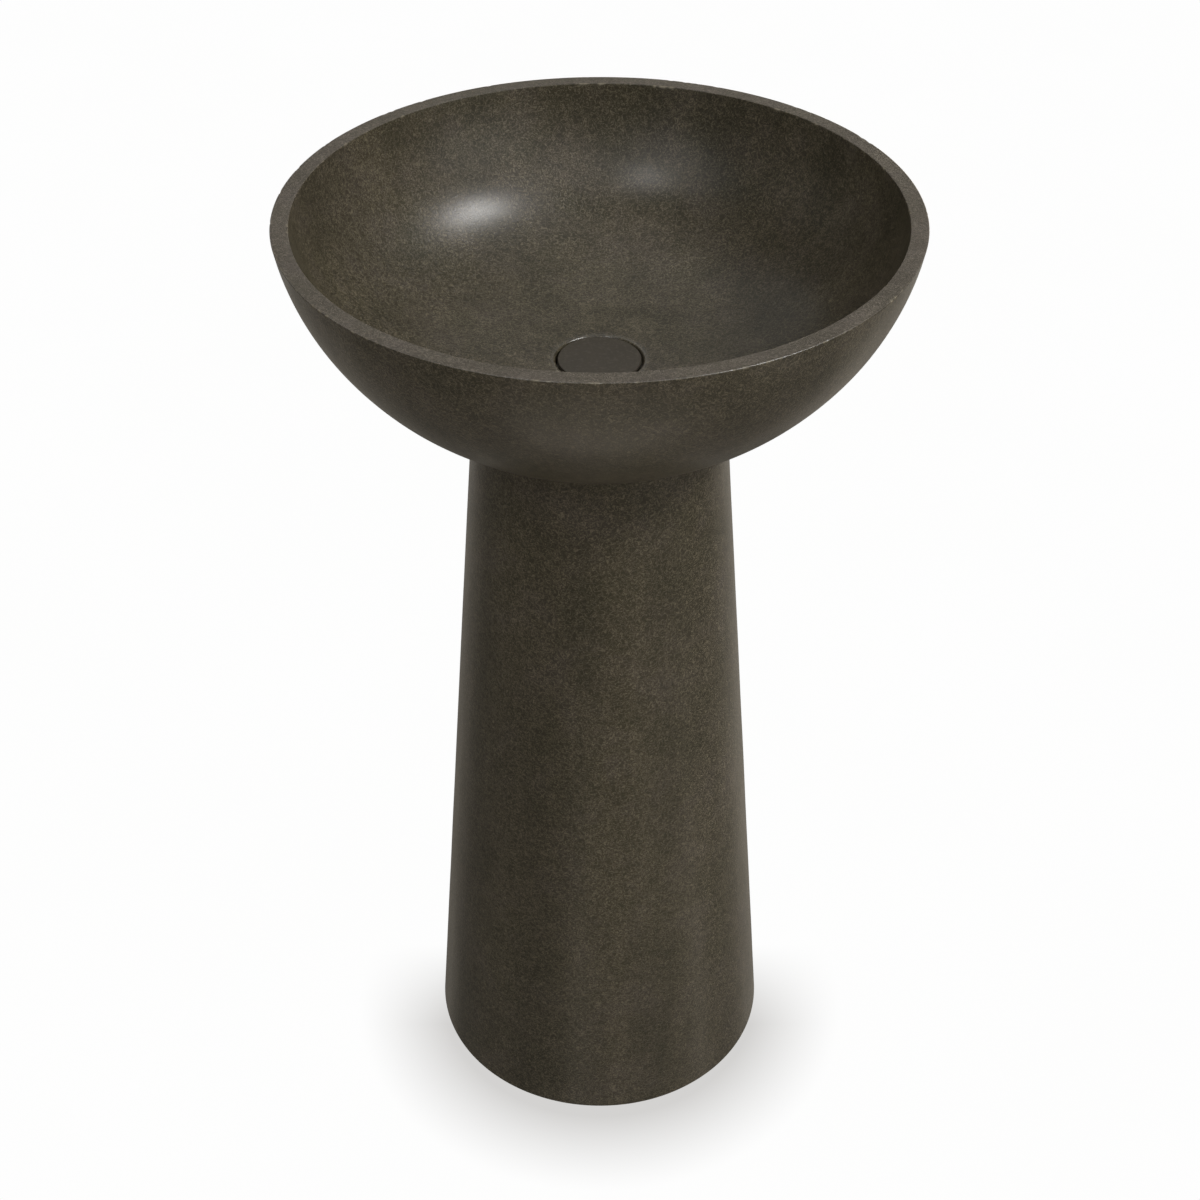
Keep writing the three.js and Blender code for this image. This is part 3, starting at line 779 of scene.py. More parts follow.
def column_rows():
    """Heights of the column's rows, closer together round the top of the opening."""
    apex = OPENING_SPRING + OPENING_HALF
    rows = list(np.linspace(FLOOR, OPENING_SPRING, 120)[:-1])
    rows += [OPENING_SPRING + OPENING_HALF * math.sin(a) for a in np.linspace(0, math.radians(80), 25)]
    rows += list(np.linspace(apex, COLUMN_TOP, 15))
    return rows, apex


def make_column():
    rows, apex = column_rows()
    across = {"outside": 240, "inside": 120}
    radii = {
        "outside": (COLUMN_TOP_RADIUS, BASE_RADIUS),
        "inside": (COLUMN_TOP_RADIUS - COLUMN_WALL, BASE_RADIUS - COLUMN_WALL),
    }
    vertices = []
    grids = {}
    for skin, count in across.items():
        grid = []
        for height in rows:
            radius = column_radius(height, *radii[skin])
            gap = math.asin(opening_half(height) / radius) if height < apex else 0
            # The rows run round from one side of the opening in the back to the other.
            angles = np.linspace(math.pi / 2 + gap, math.pi / 2 + TURN - gap, count + 1)
            whole = height >= apex - TINY
            if whole:
                angles = angles[:-1]
            first = len(vertices)
            vertices.extend((radius * math.cos(a), radius * math.sin(a), height) for a in angles)
            line = list(range(first, first + len(angles)))
            if whole:
                line.append(first)
            grid.append(line)
        grids[skin] = grid
    faces = []
    outside, inside = grids["outside"], grids["inside"]
    for grid, outwards in ((outside, True), (inside, False)):
        for low, high in zip(grid, grid[1:]):
            for i in range(len(low) - 1):
                face = (low[i], low[i + 1], high[i + 1], high[i])
                faces.append(face if outwards else face[::-1])
    # The opening's two cheeks, which meet at its apex.
    for j in range(len(rows) - 1):
        if rows[j] >= apex - TINY:
            break
        for end, turn in ((0, 1), (-1, -1)):
            face = (outside[j][end], outside[j + 1][end], inside[j + 1][end], inside[j][end])
            faces.append(tuple(dict.fromkeys(face))[::turn])
    # The faces at the foot and at the top, with two outer segments to each inner one.
    for j, turn in ((0, -1), (len(rows) - 1, 1)):
        for i in range(across["inside"]):
            outer = outside[j][2 * i:2 * i + 3]
            inner = inside[j][i:i + 2]
            faces.append(tuple(outer + inner[::-1])[::turn])
    piece = make_piece("stone_column", vertices, faces)
    ease_edges(piece, 0.8)
    weather(piece, 0.0003, 0.07, 5)
    for side, place in FIXING.items():
        low, high = span_in_wall(f"thread_insert_{side}")
        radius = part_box(f"thread_insert_{side}")[1].y / MM + 0.4
        hole = [(0, low - 12), (radius, low - 12), (radius, high + 1.5), (0, high + 1.5)]
        combine(piece, turned_piece("hole", hole, 48, place=place, closed=False), "DIFFERENCE")
    smooth(piece)
    install(piece, "pedestal_column", STONE)


# ------------------------------------------------------------------ seat ring and push waste

def make_seat_ring():
    """The sealant between the column and the bowl, squeezed out into a soft uneven bead."""
    radius, low, high = extent("bowl_seat_ring")
    inner = COLUMN_TOP_RADIUS - COLUMN_WALL + 3
    outline = ring_outline(inner, radius, low, high, 0.65)
    uneven = ribs(7, 0.4, low - 9, high + 9, inner + 5)
    piece = turned_piece("seat_sealant", outline, 192, [uneven])
    install(piece, "bowl_seat_ring", RUBBER)


def make_drain_cap():
    """The cap, with a faint crown, a rounded edge, the skirt for its seal and a threaded boss."""
    radius, low, high = extent("drain_cap")
    crown = 0.2
    plate = high - 2.8
    skirt = plate - 4.3
    bore = PLUNGER_ROD + 0.3
    below = rounded([
        (bore, plate - 1.5), (bore, low, 0.3), (6.5, low, 0.5), (6.5, plate, 0.6), (17, plate, 0.5),
        (17, skirt, 0.3), (20, skirt, 0.3), (20, plate, 0.3), (radius, plate, 0.4),
        (radius, high - crown, 0.95), (0.9 * radius, high - crown * 0.81),
    ], 5, closed=False)
    above = [(radius * share, high - crown * share**2) for share in (0.75, 0.6, 0.45, 0.3, 0.15, 0)]
    outline = [(0, plate - 1.5)] + finer(below, 0.12, closed=False) + above
    screw = thread(ROD_PITCH, 0.2, low, plate - 1.5, bore, OUTWARDS)
    piece = turned_piece("coated_drain_cap", outline, 160, [screw], closed=False)
    install(piece, "drain_cap", COATED)


def make_plug_seal():
    """A moulded ring of round section with the fine ridge of its mould's parting line."""
    radius, low, high = extent("plug_seal")
    wire = (high - low) / 2
    middle = radius - wire
    ridge = 0.07
    around = 28
    outline = []
    for i in range(around):
        angle = TURN * i / around
        reach = wire - ridge + ridge * math.exp(-((math.sin(angle) / 0.12) ** 2))
        outline.append((middle + reach * math.cos(angle), (low + high) / 2 + wire * math.sin(angle)))
    install(turned_piece("plug_seal_ring", outline, 160), "plug_seal", RUBBER)


def make_plunger():
    """The brass push rod: a grooved head in the cartridge and a thread for the cap."""
    radius, low, high = extent("click_plunger")
    head = low + 3
    outline = rounded([
        (0, low), (radius, low, 0.3), (radius, low + 1.1, 0.2), (radius - 0.5, low + 1.2, 0.1),
        (radius - 0.5, low + 1.8, 0.1), (radius, low + 1.9, 0.2), (radius, head, 0.3),
        (PLUNGER_ROD, head, 0.3), (PLUNGER_ROD, high - 7),
    ], 4, closed=False)
    outline += straight((PLUNGER_ROD, high - 7), (PLUNGER_ROD, high - 0.5), 0.1)[1:]
    outline += [(PLUNGER_ROD - 0.5, high), (0, high)]
    screw = thread(ROD_PITCH, 0.38, high - 7, high - 0.3, PLUNGER_ROD)
    piece = turned_piece("brass_plunger", outline, 64, [screw], closed=False)
    install(piece, "click_plunger", BRASS)


def make_spring():
    """The click spring, of round wire with closed ends."""
    radius, low, high = extent("click_spring")
    wire = 0.45
    coil = radius - wire
    turns = 4.5
    steps = round(turns * 40)
    around = 12
    vertices = []
    for i in range(steps + 1):
        share = i / steps
        angle = TURN * turns * share
        # The end turns lie close, and the pitch is greatest half way up.
        eased = share - math.sin(TURN * share) / TURN
        height = low + wire + (high - low - 2 * wire) * (0.7 * share + 0.3 * eased)
        for k in range(around):
            side = TURN * k / around
            reach = coil + wire * math.cos(side)
            rise = height + wire * math.sin(side)
            vertices.append((reach * math.cos(angle), reach * math.sin(angle), rise))
    faces = [tuple(range(around)), tuple(range(steps * around, (steps + 1) * around))[::-1]]
    for i in range(steps):
        for k in range(around):
            a, b = i * around + k, i * around + (k + 1) % around
            faces.append((a, a + around, b + around, b))
    piece = make_piece("coiled_click_spring", vertices, faces)
    dress(piece, STEEL)
    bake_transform(piece)
    stand_for("click_spring")


def make_cartridge():
    """The click cartridge: a moulded sleeve with a collar, eight guide grooves and a bevelled top."""
    radius, low, high = extent("click_cartridge")
    body = radius - 2.2
    wall = 2
    bore = 5.6
    hole = PLUNGER_ROD + 0.3
    collar = WASTE_SPIDER_TOP + 0.3
    outline = finer(rounded([
        (body, low, 0.8), (body, collar, 0.2), (radius, collar, 0.3), (radius, collar + 2, 0.3),
        (body, collar + 2, 0.3), (body, high, 0.9), (hole, high, 0.4), (hole, high - wall, 0.2),
        (bore, high - wall, 0.3), (bore, low + wall, 0.3),
    ], 4, closed=False), 0.8, closed=False)
    outline = [(0, low)] + outline + [(0, low + wall)]
    grooves = ribs(8, 0.45, low + 1.5, collar - 1.5, body - 0.1)
    grips = ribs(20, 0.4, collar - 0.6, collar + 2.6, body + 1, 0.7)
    piece = turned_piece("nylon_click_cartridge", outline, 160, [grooves, grips], closed=False)
    install(piece, "click_cartridge", NYLON)


def make_waste_body():
    """Chromed flange, polished conical seat and a tail with a long thread, on a three-armed spider."""
    radius, low, high = extent("waste_body")
    under = high - 2.7
    seat = 26
    outline = rounded([(TAIL_BORE, low + 0.3), (TAIL_BORE, low, 0.5), (TAIL_RADIUS, low, 0.8),
                       (TAIL_RADIUS, low + 1.5)], 3, closed=False)
    outline += straight((TAIL_RADIUS, low + 1.5), (TAIL_RADIUS, under - 1), WASTE_PITCH / 8)[1:]
    outline += rounded([
        (TAIL_RADIUS, under - 1), (TAIL_RADIUS, under, 0.4), (radius, under, 0.5), (radius, high, 1.0),
        (seat, high, 0.7), (TAIL_BORE, high - 6.2, 0.8), (TAIL_BORE, high - 8),
    ], 5, closed=False)
    outline += straight((TAIL_BORE, high - 8), (TAIL_BORE, low + 0.3), 15)[1:]
    screw = thread(WASTE_PITCH, 1.1, low + 0.5, under - 9, TAIL_RADIUS)
    piece = turned_piece("chrome_waste_body", outline, 96, [screw])

    boss = 8.4
    spider = turned_piece("waste_spider", ring_outline(
        boss, boss + 2.1, WASTE_SPIDER_TOP - 6, WASTE_SPIDER_TOP, 0.4), 96)
    for i in range(3):
        # Each arm runs from inside the boss's wall into the tail's wall.
        flat = rounded([(boss + 1, -1.5), (TAIL_BORE + 1, -1.5), (TAIL_BORE + 1, 1.5), (boss + 1, 1.5)])
        arm = prism("spider_arm", flat, WASTE_SPIDER_TOP - 5, WASTE_SPIDER_TOP - 1)
        ease_edges(arm, 0.6)
        arm.data.transform(Matrix.Rotation(math.pi / 2 + i * TURN / 3, 4, "Z"))
        combine(spider, arm, "UNION")
    combine(piece, spider, "UNION")
    smooth(piece)
    install(piece, "waste_body", CHROME)


def make_ring_pieces():
    """The washers and flat seals: plain rings with the rounded or bevelled edges of moulded ones."""
    rings = [
        ("flange_gasket", "gasket_ring", DRAIN_RADIUS + 0.5, 0.45, RUBBER, None),
        ("slip_washer", "nylon_slip_washer", TAIL_RADIUS + RUN, 0.4, NYLON, None),
        ("inlet_flat_washer", "inlet_washer_ring", PIPE_RADIUS + 1, 0.5, RUBBER, None),
        ("cup_o_ring", "cup_sealing_ring", SKIRT_RADIUS + 0.9, 0.85, RUBBER, None),
        ("bracket_washer_right", "plain_washer_right", BOLT_RADIUS + 0.5, 0.2, STEEL, FIXING["right"]),
        ("bracket_washer_left", "plain_washer_left", BOLT_RADIUS + 0.5, 0.2, STEEL, FIXING["left"]),
    ]
    for node, name, inner, edge, material, place in rings:
        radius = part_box(node)[1].y / MM
        low, high = span_in_wall(node) if place else extent(node)[1:]
        piece = turned_piece(name, ring_outline(inner, radius, low, high, edge), 128, place=place)
        install(piece, node, material)


def make_cone_washer():
    radius, low, high = extent("cone_washer")
    outline = rounded([
        (TAIL_RADIUS + RUN, low, 0.5), (radius - 6, low, 0.8), (radius, high - 2.2, 0.8),
        (radius, high, 0.6), (TAIL_RADIUS + RUN, high, 0.8),
    ])
    install(turned_piece("rubber_cone_washer", outline, 128), "cone_washer", RUBBER)


def make_back_nut():
    corner, low, high = extent("back_nut")
    piece = hex_body("brass_back_nut", corner, low, high, 1.6)
    radius = TAIL_RADIUS + RUN
    bore = finer(rounded([
        (0, low - 1), (radius + 2, low - 1), (radius, low + 1), (radius, high - 1),
        (radius + 2, high + 1), (0, high + 1),
    ], closed=False), WASTE_PITCH / 8, closed=False)
    screw = thread(WASTE_PITCH, 1.0, low, high, radius, OUTWARDS)
    combine(piece, turned_piece("nut_bore", bore, 96, [screw], closed=False), "DIFFERENCE")
    smooth(piece, 30)
    install(piece, "back_nut", BRASS)


# ------------------------------------------------------------------ bottle trap

def coupling_nut(name, low, high, lip, place=None):
    """A round union nut with grip ribs and an inside thread. Its narrow lip is at the low end."""
    narrow = PIPE_RADIUS + RUN
    wide = SOCKET_RADIUS + RUN
    edge = 1.5
    outline = finer(rounded([
        (narrow, low, 0.4), (UNION_RADIUS - edge, low, 0.6), (UNION_RADIUS, low + edge, 0.6),
        (UNION_RADIUS, high - edge, 0.6), (UNION_RADIUS - edge, high, 0.6), (wide, high, 0.5),
        (wide, low + lip, 0.4), (narrow, low + lip, 0.3),
    ]), 0.3)
    grips = ribs(18, 1.1, low + 2.5, high - 2.5, UNION_RADIUS - 0.1, 2)
    screw = thread(UNION_PITCH, UNION_DEPTH, low + lip + 1, high - 0.5, wide, OUTWARDS)
    return turned_piece(name, outline, 216, [grips, screw], place)


def make_trap_inlet():
    """The union nut under the waste and the inlet pipe with its flanged end."""
    _, low, high = extent("inlet_union_nut")
    collar, pipe_low, pipe_high = extent("trap_inlet_pipe")
    nut = coupling_nut("chrome_inlet_nut", low, high, pipe_high - 2 - 0.3 - low)
    install(nut, "inlet_union_nut", CHROME)
    outline = rounded([
        (PIPE_BORE, pipe_low, 0.3), (PIPE_RADIUS, pipe_low, 0.5), (PIPE_RADIUS, pipe_high - 2, 0.8),
        (collar, pipe_high - 2, 0.5), (collar, pipe_high, 0.5), (PIPE_BORE, pipe_high, 1.1),
    ], 5)
    piece = turned_piece("chrome_inlet_pipe", finer(outline, 12), 128)
    install(piece, "trap_inlet_pipe", CHROME)


def make_trap_body():
    """The trap's upper body: its outlet socket blends into it, and it has threads for nuts and cup."""
    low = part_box("trap_body")[0].z / MM
    bore = PIPE_RADIUS + RUN
    shell = rounded([
        (CHAMBER_RADIUS, low, 0.5), (SKIRT_RADIUS, low, 0.6), (SKIRT_RADIUS, BODY_SHOULDER, 0.3),
        (BAND_RADIUS, BODY_SHOULDER, 0.7), (BAND_RADIUS, BODY_SHOULDER + 4, 1.2),
        (TRAP_RADIUS, BODY_SHOULDER + 7, 2.0), (TRAP_RADIUS, CHAMBER_TOP + 2.5, 5.0),
        (SOCKET_RADIUS, CHAMBER_TOP + 8, 1.2), (SOCKET_RADIUS, NECK_TOP, 0.6), (bore, NECK_TOP, 0.6),
        (bore, CHAMBER_TOP + 3), (CHAMBER_RADIUS, CHAMBER_TOP),
    ], 6)
    cup_screw = thread(CUP_PITCH, 0.9, low + 0.5, BODY_SHOULDER - 1.5, SKIRT_RADIUS)
    neck_screw = thread(UNION_PITCH, UNION_DEPTH, CHAMBER_TOP + 10, NECK_TOP - 0.5, SOCKET_RADIUS)
    piece = turned_piece("chrome_trap_body", finer(shell, 0.5), 120, [cup_screw, neck_screw])

    fillet = 4.5

    def flare(r, z, angles):
        """Widens the branch where it meets the round body, as a casting's fillet does."""
        wall = np.sqrt(TRAP_RADIUS**2 - (SOCKET_RADIUS * np.cos(angles)) ** 2)
        reach = np.clip((z - wall) / fillet, 0, 1)
        return fillet * (1 - np.sqrt(1 - (1 - reach) ** 2)) if r > bore else np.zeros(len(angles))

    start = CHAMBER_RADIUS - 6
    branch = [(0, start)] + straight((SOCKET_RADIUS, start), (SOCKET_RADIUS, 44), 0.8)
    branch += straight((SOCKET_RADIUS, 44), (SOCKET_RADIUS, BRANCH_END - 1.2), 0.4)
    branch += rounded([(SOCKET_RADIUS, BRANCH_END - 1.2), (SOCKET_RADIUS, BRANCH_END, 0.6),
                       (bore, BRANCH_END), (0, BRANCH_END)], closed=False)
    branch_screw = thread(UNION_PITCH, UNION_DEPTH, BRANCH_END - 22, BRANCH_END - 0.5, SOCKET_RADIUS)
    limb = turned_piece("limb", branch, 120, [flare, branch_screw], ALONG_PIPE, closed=False)
    # The limb ends inside the round body's wall, which is 4 mm thick.
    middle = (CHAMBER_RADIUS + TRAP_RADIUS) / 2
    room = [(0, low - 1), (middle, low - 1), (middle, CHAMBER_TOP - 1.7), (0, CHAMBER_TOP - 1.7)]
    combine(limb, turned_piece("room", room, 90, closed=False), "DIFFERENCE")
    combine(piece, limb, "UNION")
    passage = rounded([(0, 10), (bore, 10), (bore, BRANCH_END - 1), (bore + 2, BRANCH_END + 1),
                       (0, BRANCH_END + 1)], closed=False)
    combine(piece, turned_piece("passage", passage, 120, place=ALONG_PIPE, closed=False), "DIFFERENCE")
    smooth(piece, 32)
    install(piece, "trap_body", CHROME)


def make_trap_cup():
    """The cup, with a ribbed band for the hand, a rounded foot and a thread inside its mouth."""
    radius, low, high = extent("trap_cup")
    mouth = SKIRT_RADIUS + RUN
    bore = TRAP_RADIUS - CUP_WALL
    outside = rounded([
        (0, low + 0.4), (6, low + 0.4), (8, low, 0.8), (TRAP_RADIUS - 7, low, 3), (TRAP_RADIUS, low + 8, 6),
        (TRAP_RADIUS, high - 24, 2), (radius, high - 20, 1.5), (radius, high, 0.7), (mouth, high, 0.5),
        (mouth, high - 19.5, 0.3), (bore, high - 21, 0.5), (bore, low + 11, 5), (19, low + 3, 3),
        (0, low + 3),
    ], 7, closed=False)
    grips = ribs(24, 0.9, high - 19.5, high - 2, radius - 0.1, 2)
    screw = thread(CUP_PITCH, 0.8, high - 18.5, high - 1, mouth, OUTWARDS)
    outline = finer(outside, 0.5, closed=False)
    piece = turned_piece("chrome_trap_cup", outline, 240, [grips, screw], closed=False)
    install(piece, "trap_cup", CHROME)


def make_sockets():
    """The nut and the wedge-shaped rubber seal at the neck and at the outlet."""
    half = UNION_HALF
    inner, outer = PIPE_RADIUS + 0.3, SOCKET_RADIUS - 0.2
    thin = UNION_LIP + 0.3 - half
    wedge = rounded([
        (inner, thin, 0.3), (outer - 1.4, thin, 0.4), (outer, thin + 2, 0.6), (outer, -0.3, 0.5),
        (inner, -0.3, 0.5),
    ])
    for side, place in (("trap_top", AT_NECK), ("outlet", AT_BRANCH)):
        nut = coupling_nut(f"chrome_{side}_nut", -half, half, UNION_LIP, place)
        install(nut, f"{side}_nut", CHROME)
        seal = turned_piece(f"{side}_wedge_seal", wedge, 128, place=place)
        install(seal, f"{side}_seal", RUBBER)


def make_outlet_pipe():
    _, start, end = extent("outlet_pipe", "y")
    outline = rounded([
        (PIPE_BORE, start, 0.3), (PIPE_RADIUS, start, 0.6), (PIPE_RADIUS, end, 0.5), (PIPE_BORE, end, 0.3),
    ])
    piece = turned_piece("chrome_outlet_pipe", finer(outline, 12), 128, place=ALONG_PIPE)
    install(piece, "outlet_pipe", CHROME)


def make_rosette():
    """The wall rosette, spun from thin sheet: a rolled collar, a swept dome and a turned-back rim."""
    radius, front, back = extent("wall_rosette", "y")
    inner = PIPE_RADIUS + RUN
    dome = bezier((inner + 3.0, front + 0.2), (inner + 6, front + 2.2), (radius - 7, front + 1.6),
                  (radius, back - 1.6), 14)
    outline = rounded([(inner, front + 3), (inner, front, 0.6), (inner + 2.4, front, 0.9), dome[1]],
                      closed=False)[:-1]
    outline += dome[1:]
    outline += rounded([
        dome[-1], (radius, back, 0.5), (radius - 6, back, 0.3), (inner + 2.4, front + 3, 0.8),
        (inner, front + 3),
    ], closed=False)[1:-1]
    piece = turned_piece("chrome_wall_rosette", outline, 160, place=ALONG_PIPE)
    install(piece, "wall_rosette", CHROME)


# ------------------------------------------------------------------ floor brackets

def make_bracket(side):
    """A bracket bent from 3 mm strip, with a hole in its upright and a slot in its foot."""
    low, high = (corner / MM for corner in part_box("floor_bracket_right"))
    profile = rounded([
        (low.x, 0), (high.x, 0, 4.5), (high.x, high.z), (high.x - STRIP, high.z),
        (high.x - STRIP, STRIP, 1.5), (low.x, STRIP),
    ], 6)
    upright = Matrix.Rotation(math.pi / 2, 4, "X")
    piece = prism(f"steel_bracket_{side}", profile, low.y, high.y, upright)

    plan = rounded([(low.x, low.y, 6), (high.x + 1, low.y), (high.x + 1, high.y), (low.x, high.y, 6)], 6)
    combine(piece, prism("plan", plan, -1, high.z + 1), "INTERSECT")
    # Seen along the column's radius the upright's two top corners are round.
    across = rounded([(1, low.y), (-high.z, low.y, 6), (-high.z, high.y, 6), (1, high.y)], 6)
    face = Matrix.Rotation(math.pi / 2, 4, "Y")
    combine(piece, prism("face", across[::-1], low.x - 1, high.x + 1, face), "INTERSECT")

    radius = BOLT_RADIUS + RUN
    hole = [(0, high.x - 9), (radius, high.x - 9), (radius, high.x + 5), (0, high.x + 5)]
    bolt_line = Matrix.Translation((0, 0, BOLT_HEIGHT * MM)) @ face
    combine(piece, turned_piece("hole", hole, 64, place=bolt_line, closed=False), "DIFFERENCE")
    first, last = SLOT_ENDS
    slot = [(x + SLOT_RADIUS * math.cos(a), SLOT_RADIUS * math.sin(a))
            for x, start in ((last, -math.pi / 2), (first, math.pi / 2))
            for a in np.linspace(start, start + math.pi, 17)]
    combine(piece, prism("slot", slot, -1, STRIP + 1), "DIFFERENCE")
    ease_edges(piece, 0.35, 2)
    piece.data.transform(SIDE_TURN[side])
    install(piece, f"floor_bracket_{side}", STEEL)


def make_bolt(side):
    """An M8 bolt with a chamfered head and a washer face, drawn with +Z out through the wall."""
    low, high = span_in_wall(f"bracket_bolt_{side}")
    head = low + 5.3
    piece = hex_body(f"steel_bolt_{side}", HEAD_CORNER, low, head - 0.3, 0.9)
    shank = rounded([(0, head - 1), (6, head - 1), (6, head, 0.1), (BOLT_RADIUS, head, 0.3)], closed=False)
    shank += straight((BOLT_RADIUS, head + 1), (BOLT_RADIUS, high - 0.6), BOLT_PITCH / 8)
    shank += [(BOLT_RADIUS, high - 0.6), (BOLT_RADIUS - 0.7, high), (0, high)]
    screw = thread(BOLT_PITCH, 0.68, head + 3, high + 1, BOLT_RADIUS)
    combine(piece, turned_piece("shank", shank, 64, [screw], closed=False), "UNION")
    smooth(piece, 30)
    piece.data.transform(FIXING[side])
    install(piece, f"bracket_bolt_{side}", STEEL)


def make_insert(side):
    """A brass insert, knurled outside so that it grips the stone and threaded inside."""
    low, high = span_in_wall(f"thread_insert_{side}")
    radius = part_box(f"thread_insert_{side}")[1].y / MM
    bore = BOLT_RADIUS + 0.4
    section = rounded([(bore, low, 0.4), (radius, low, 0.5), (radius, high, 0.5), (bore, high, 0.4)])
    outline = finer(section, 0.16)
    knurl = ribs(24, 0.5, low + 1, high - 1, radius - 0.1, 0.8)
    screw = thread(BOLT_PITCH, 0.6, low, high, bore, OUTWARDS)
    piece = turned_piece(f"brass_insert_{side}", outline, 96, [knurl, screw], FIXING[side])
    install(piece, f"thread_insert_{side}", BRASS)


# ------------------------------------------------------------------ studio and camera

CAMERA_PLACE = (0.0004, -1.3872, 1.5533)
CAMERA_DOWN = 37.67  # degrees below the horizon
CAMERA_LENS = 61.37  # millimetres
CAMERA_SENSOR = 36  # millimetres across
STUDIO_RADIUS = 20000
FLOOR_WHITE = (0.99, 0.99, 0.989)
FLOOR_PAINTED_SHADOW = (0.655, 0.646, 0.636)
FLOOR_PAINTED_SHADE_INSIDE = (0.035, 0.031, 0.026)  # painted shade within the hollow column
BACKDROP_WHITE = (0.99, 0.99, 0.99)
FLOOR_GLOW = (1, 0.93, 0.82)
WARM = (1.0, 0.90, 0.76)
COOL = (0.80, 0.90, 1.0)


def make_camera():
    camera = bpy.data.objects.new("camera", bpy.data.cameras.new("camera"))
    camera.data.lens = CAMERA_LENS
    camera.data.sensor_width = CAMERA_SENSOR
    camera.matrix_world = (
        Matrix.Translation(CAMERA_PLACE) @ Matrix.Rotation(math.radians(90 - CAMERA_DOWN), 4, "X")
    )
    bpy.context.scene.collection.objects.link(camera)
    bpy.context.scene.camera = camera


def make_floor():
    """A white floor that only the camera sees, with a painted shadow round the column's foot and painted
    shade inside the column.
    """
    vertices, faces = turned([(0, FLOOR), (STUDIO_RADIUS, FLOOR)], 64, closed=False)
    floor = make_piece("floor", vertices, [face[::-1] for face in faces])
    material, tree, shader = new_material("pale_floor_painted_shadow")
    place = own_place(tree)
    axes = add_node(tree, "ShaderNodeSeparateXYZ", {"Vector": place}).outputs
    # Painted shadow: the floor darkens within 85 mm of the column's foot, in front of it and, a little
    # less, behind it.
    ahead = add_node(tree, "ShaderNodeVectorMath", {0: place, 1: (0, 0.012, 0)}, operation="ADD").outputs[0]
    from_axis = add_node(tree, "ShaderNodeVectorMath", {0: ahead}, operation="LENGTH").outputs["Value"]
    distance = math_of(tree, "SUBTRACT", from_axis, BASE_RADIUS * MM)
    near = math_of(tree, "POWER", remap(tree, distance, 0, 0.085, 1, 0), 1.3)
    front = remap(tree, axes["Y"], 0.05, -0.055)
    behind = remap(tree, math_of(tree, "ABSOLUTE", axes["X"], 0), 0.15, 0.09, 0, 0.8)
    shade = product(tree, near, math_of(tree, "MAXIMUM", front, behind))
    color = mix_colors(tree, shade, FLOOR_WHITE, FLOOR_PAINTED_SHADOW)
    # Painted shade inside the hollow column, deepest away from its back opening.
    inside = remap(tree, distance, -0.012, -0.022)
    inside = product(tree, inside, remap(tree, axes["Y"], 0.15, 0.05))
    color = mix_colors(tree, inside, color, FLOOR_PAINTED_SHADE_INSIDE)
    show_white(floor, material, tree, shader, color)


def make_backdrop():
    """A white dome over the floor, seen only by the camera."""
    arc = []
    for angle in np.linspace(0, math.pi / 2, 9):
        arc.append((STUDIO_RADIUS * math.cos(angle), FLOOR + STUDIO_RADIUS * math.sin(angle)))
    backdrop = turned_piece("backdrop", arc, 64, closed=False)
    material, tree, shader = new_material("pale_backdrop")
    show_white(backdrop, material, tree, shader, BACKDROP_WHITE)


def show_white(surface, material, tree, shader, color):
    """Makes a surface glow in a colour, and hides it from everything but the camera."""
    mottle = noise_at(tree, own_place(tree), 3)
    glow = mix_colors(tree, remap(tree, mottle, 0.3, 0.7), (1, 1, 1), (0.995, 0.995, 0.994))
    feed(tree, shader, {
        "Emission Color": shaded(tree, color, glow), "Emission Strength": 1,
        "Base Color": (0, 0, 0, 1), "Specular IOR Level": 0, "Roughness": 1,
    })
    surface.data.materials.append(material)
    surface.visible_diffuse = False
    surface.visible_glossy = False
    surface.visible_shadow = False


def make_world():
    """The light that a pale floor and walls give back, more of it from the right, and little from above."""
    world = bpy.data.worlds.new("studio")
    world.use_nodes = True
    tree = world.node_tree
    direction = add_node(tree, "ShaderNodeTexCoord").outputs["Generated"]
    axes = add_node(tree, "ShaderNodeSeparateXYZ", {"Vector": direction}).outputs
    from_floor = remap(tree, axes["X"], -1, 1, 0.145, 0.215)
    strength = remap(tree, axes["Z"], 0.45, -0.1, 0.10, from_floor)
    feed(tree, tree.nodes["Background"], {"Strength": strength, "Color": (*FLOOR_GLOW, 1)})
    bpy.context.scene.world = world


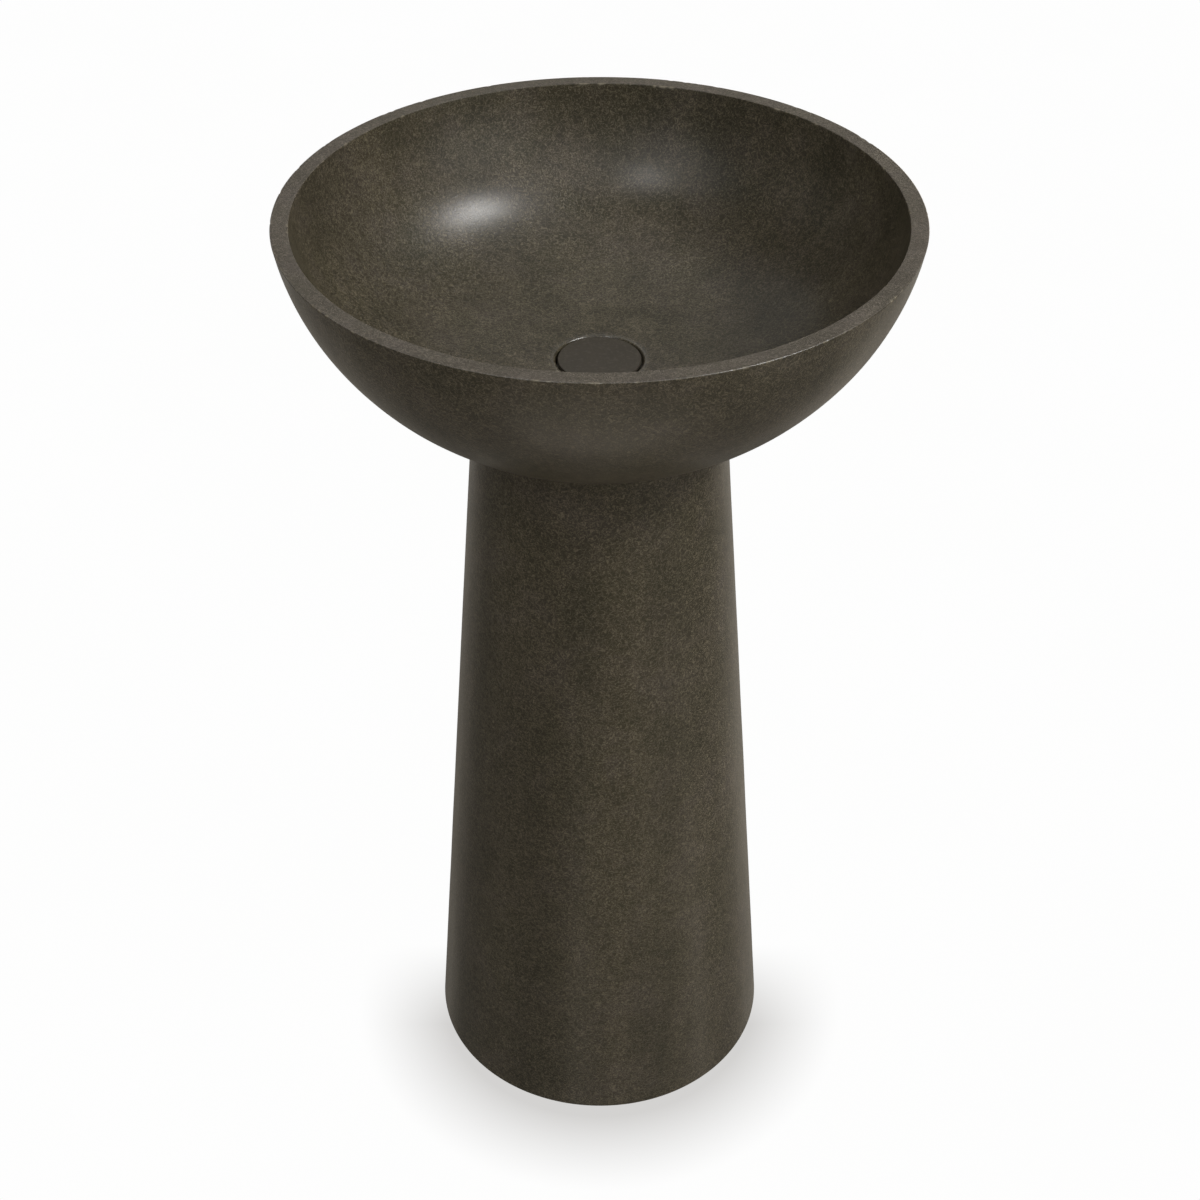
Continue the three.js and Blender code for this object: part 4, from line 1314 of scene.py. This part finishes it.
def soft_light(name, round_from_back, above, across, strength, color=(1, 1, 1)):
    """A far round light. Its direction is in degrees from +Y towards +X and above the horizon; across
    is how wide it looks, in degrees."""
    light = bpy.data.lights.new(name, "SUN")
    light.angle = math.radians(across)
    light.energy = strength
    light.color = color
    lamp = bpy.data.objects.new(name, light)
    rise, azimuth = math.radians(above), math.radians(round_from_back)
    level = math.cos(rise)
    towards = Vector((level * math.sin(azimuth), level * math.cos(azimuth), math.sin(rise)))
    lamp.rotation_euler = (-towards).to_track_quat("-Z", "Y").to_euler()
    bpy.context.scene.collection.objects.link(lamp)
    return lamp


def make_studio():
    make_floor()
    make_backdrop()
    make_world()
    # The key stands near the basin, so its gloss and its shadow come from different heights.
    soft_light("key_gloss", 100.3, 54.8, 15, 2.28).visible_diffuse = False
    soft_light("key", 100.3, 44, 12, 1.98).visible_glossy = False
    soft_light("second_key_low", 204, 46, 5, 0.23)
    soft_light("second_key_high", 204, 55, 5, 0.20)
    soft_light("haze", 206, 24, 30, 0.075, COOL)
    soft_light("front_left", 215, 38, 40, 0.38)
    soft_light("front", 160, 38, 40, 0.30)
    soft_light("front_right", 130, 12, 40, 0.535)
    soft_light("behind", 345, 40, 40, 0.24)
    soft_light("left_low", 275, 12, 40, 0.09)
    soft_light("overhead", 0, 72, 40, 0.17)
    soft_light("edge_left", 328, -20, 25, 0.025)
    soft_light("edge_right", 32, -20, 25, 0.025)
    # Light that comes back from the floor is a little warm.
    soft_light("behind_low", 10, -6, 40, 0.68, WARM)
    soft_light("floor_below", 180, -74, 40, 0.25, WARM)
    soft_light("floor_left", 245, -36, 40, 0.01, WARM)
    soft_light("floor_right", 120, -40, 40, 0.035, WARM)
    soft_light("floor_behind_right", 35, -30, 40, 0.10, WARM)
    soft_light("floor_behind_left", 325, -30, 40, 0.055, WARM)
    # Narrow ones draw the soft upright streaks on the column.
    soft_light("streak_left", 195, -42, 10, 0.030, WARM)
    soft_light("streak_middle", 148, -34, 10, 0.012, WARM)
    soft_light("streak_right", 105, -44, 10, 0.026, WARM)
    bpy.context.scene.view_settings.view_transform = "Standard"


make_camera()
make_studio()
make_bowl()
make_column()
make_seat_ring()
make_drain_cap()
make_plug_seal()
make_plunger()
make_spring()
make_cartridge()
make_waste_body()
make_ring_pieces()
make_cone_washer()
make_back_nut()
make_trap_inlet()
make_trap_body()
make_trap_cup()
make_sockets()
make_outlet_pipe()
make_rosette()
for bracket_side in SIDE_TURN:
    make_bracket(bracket_side)
    make_bolt(bracket_side)
    make_insert(bracket_side)
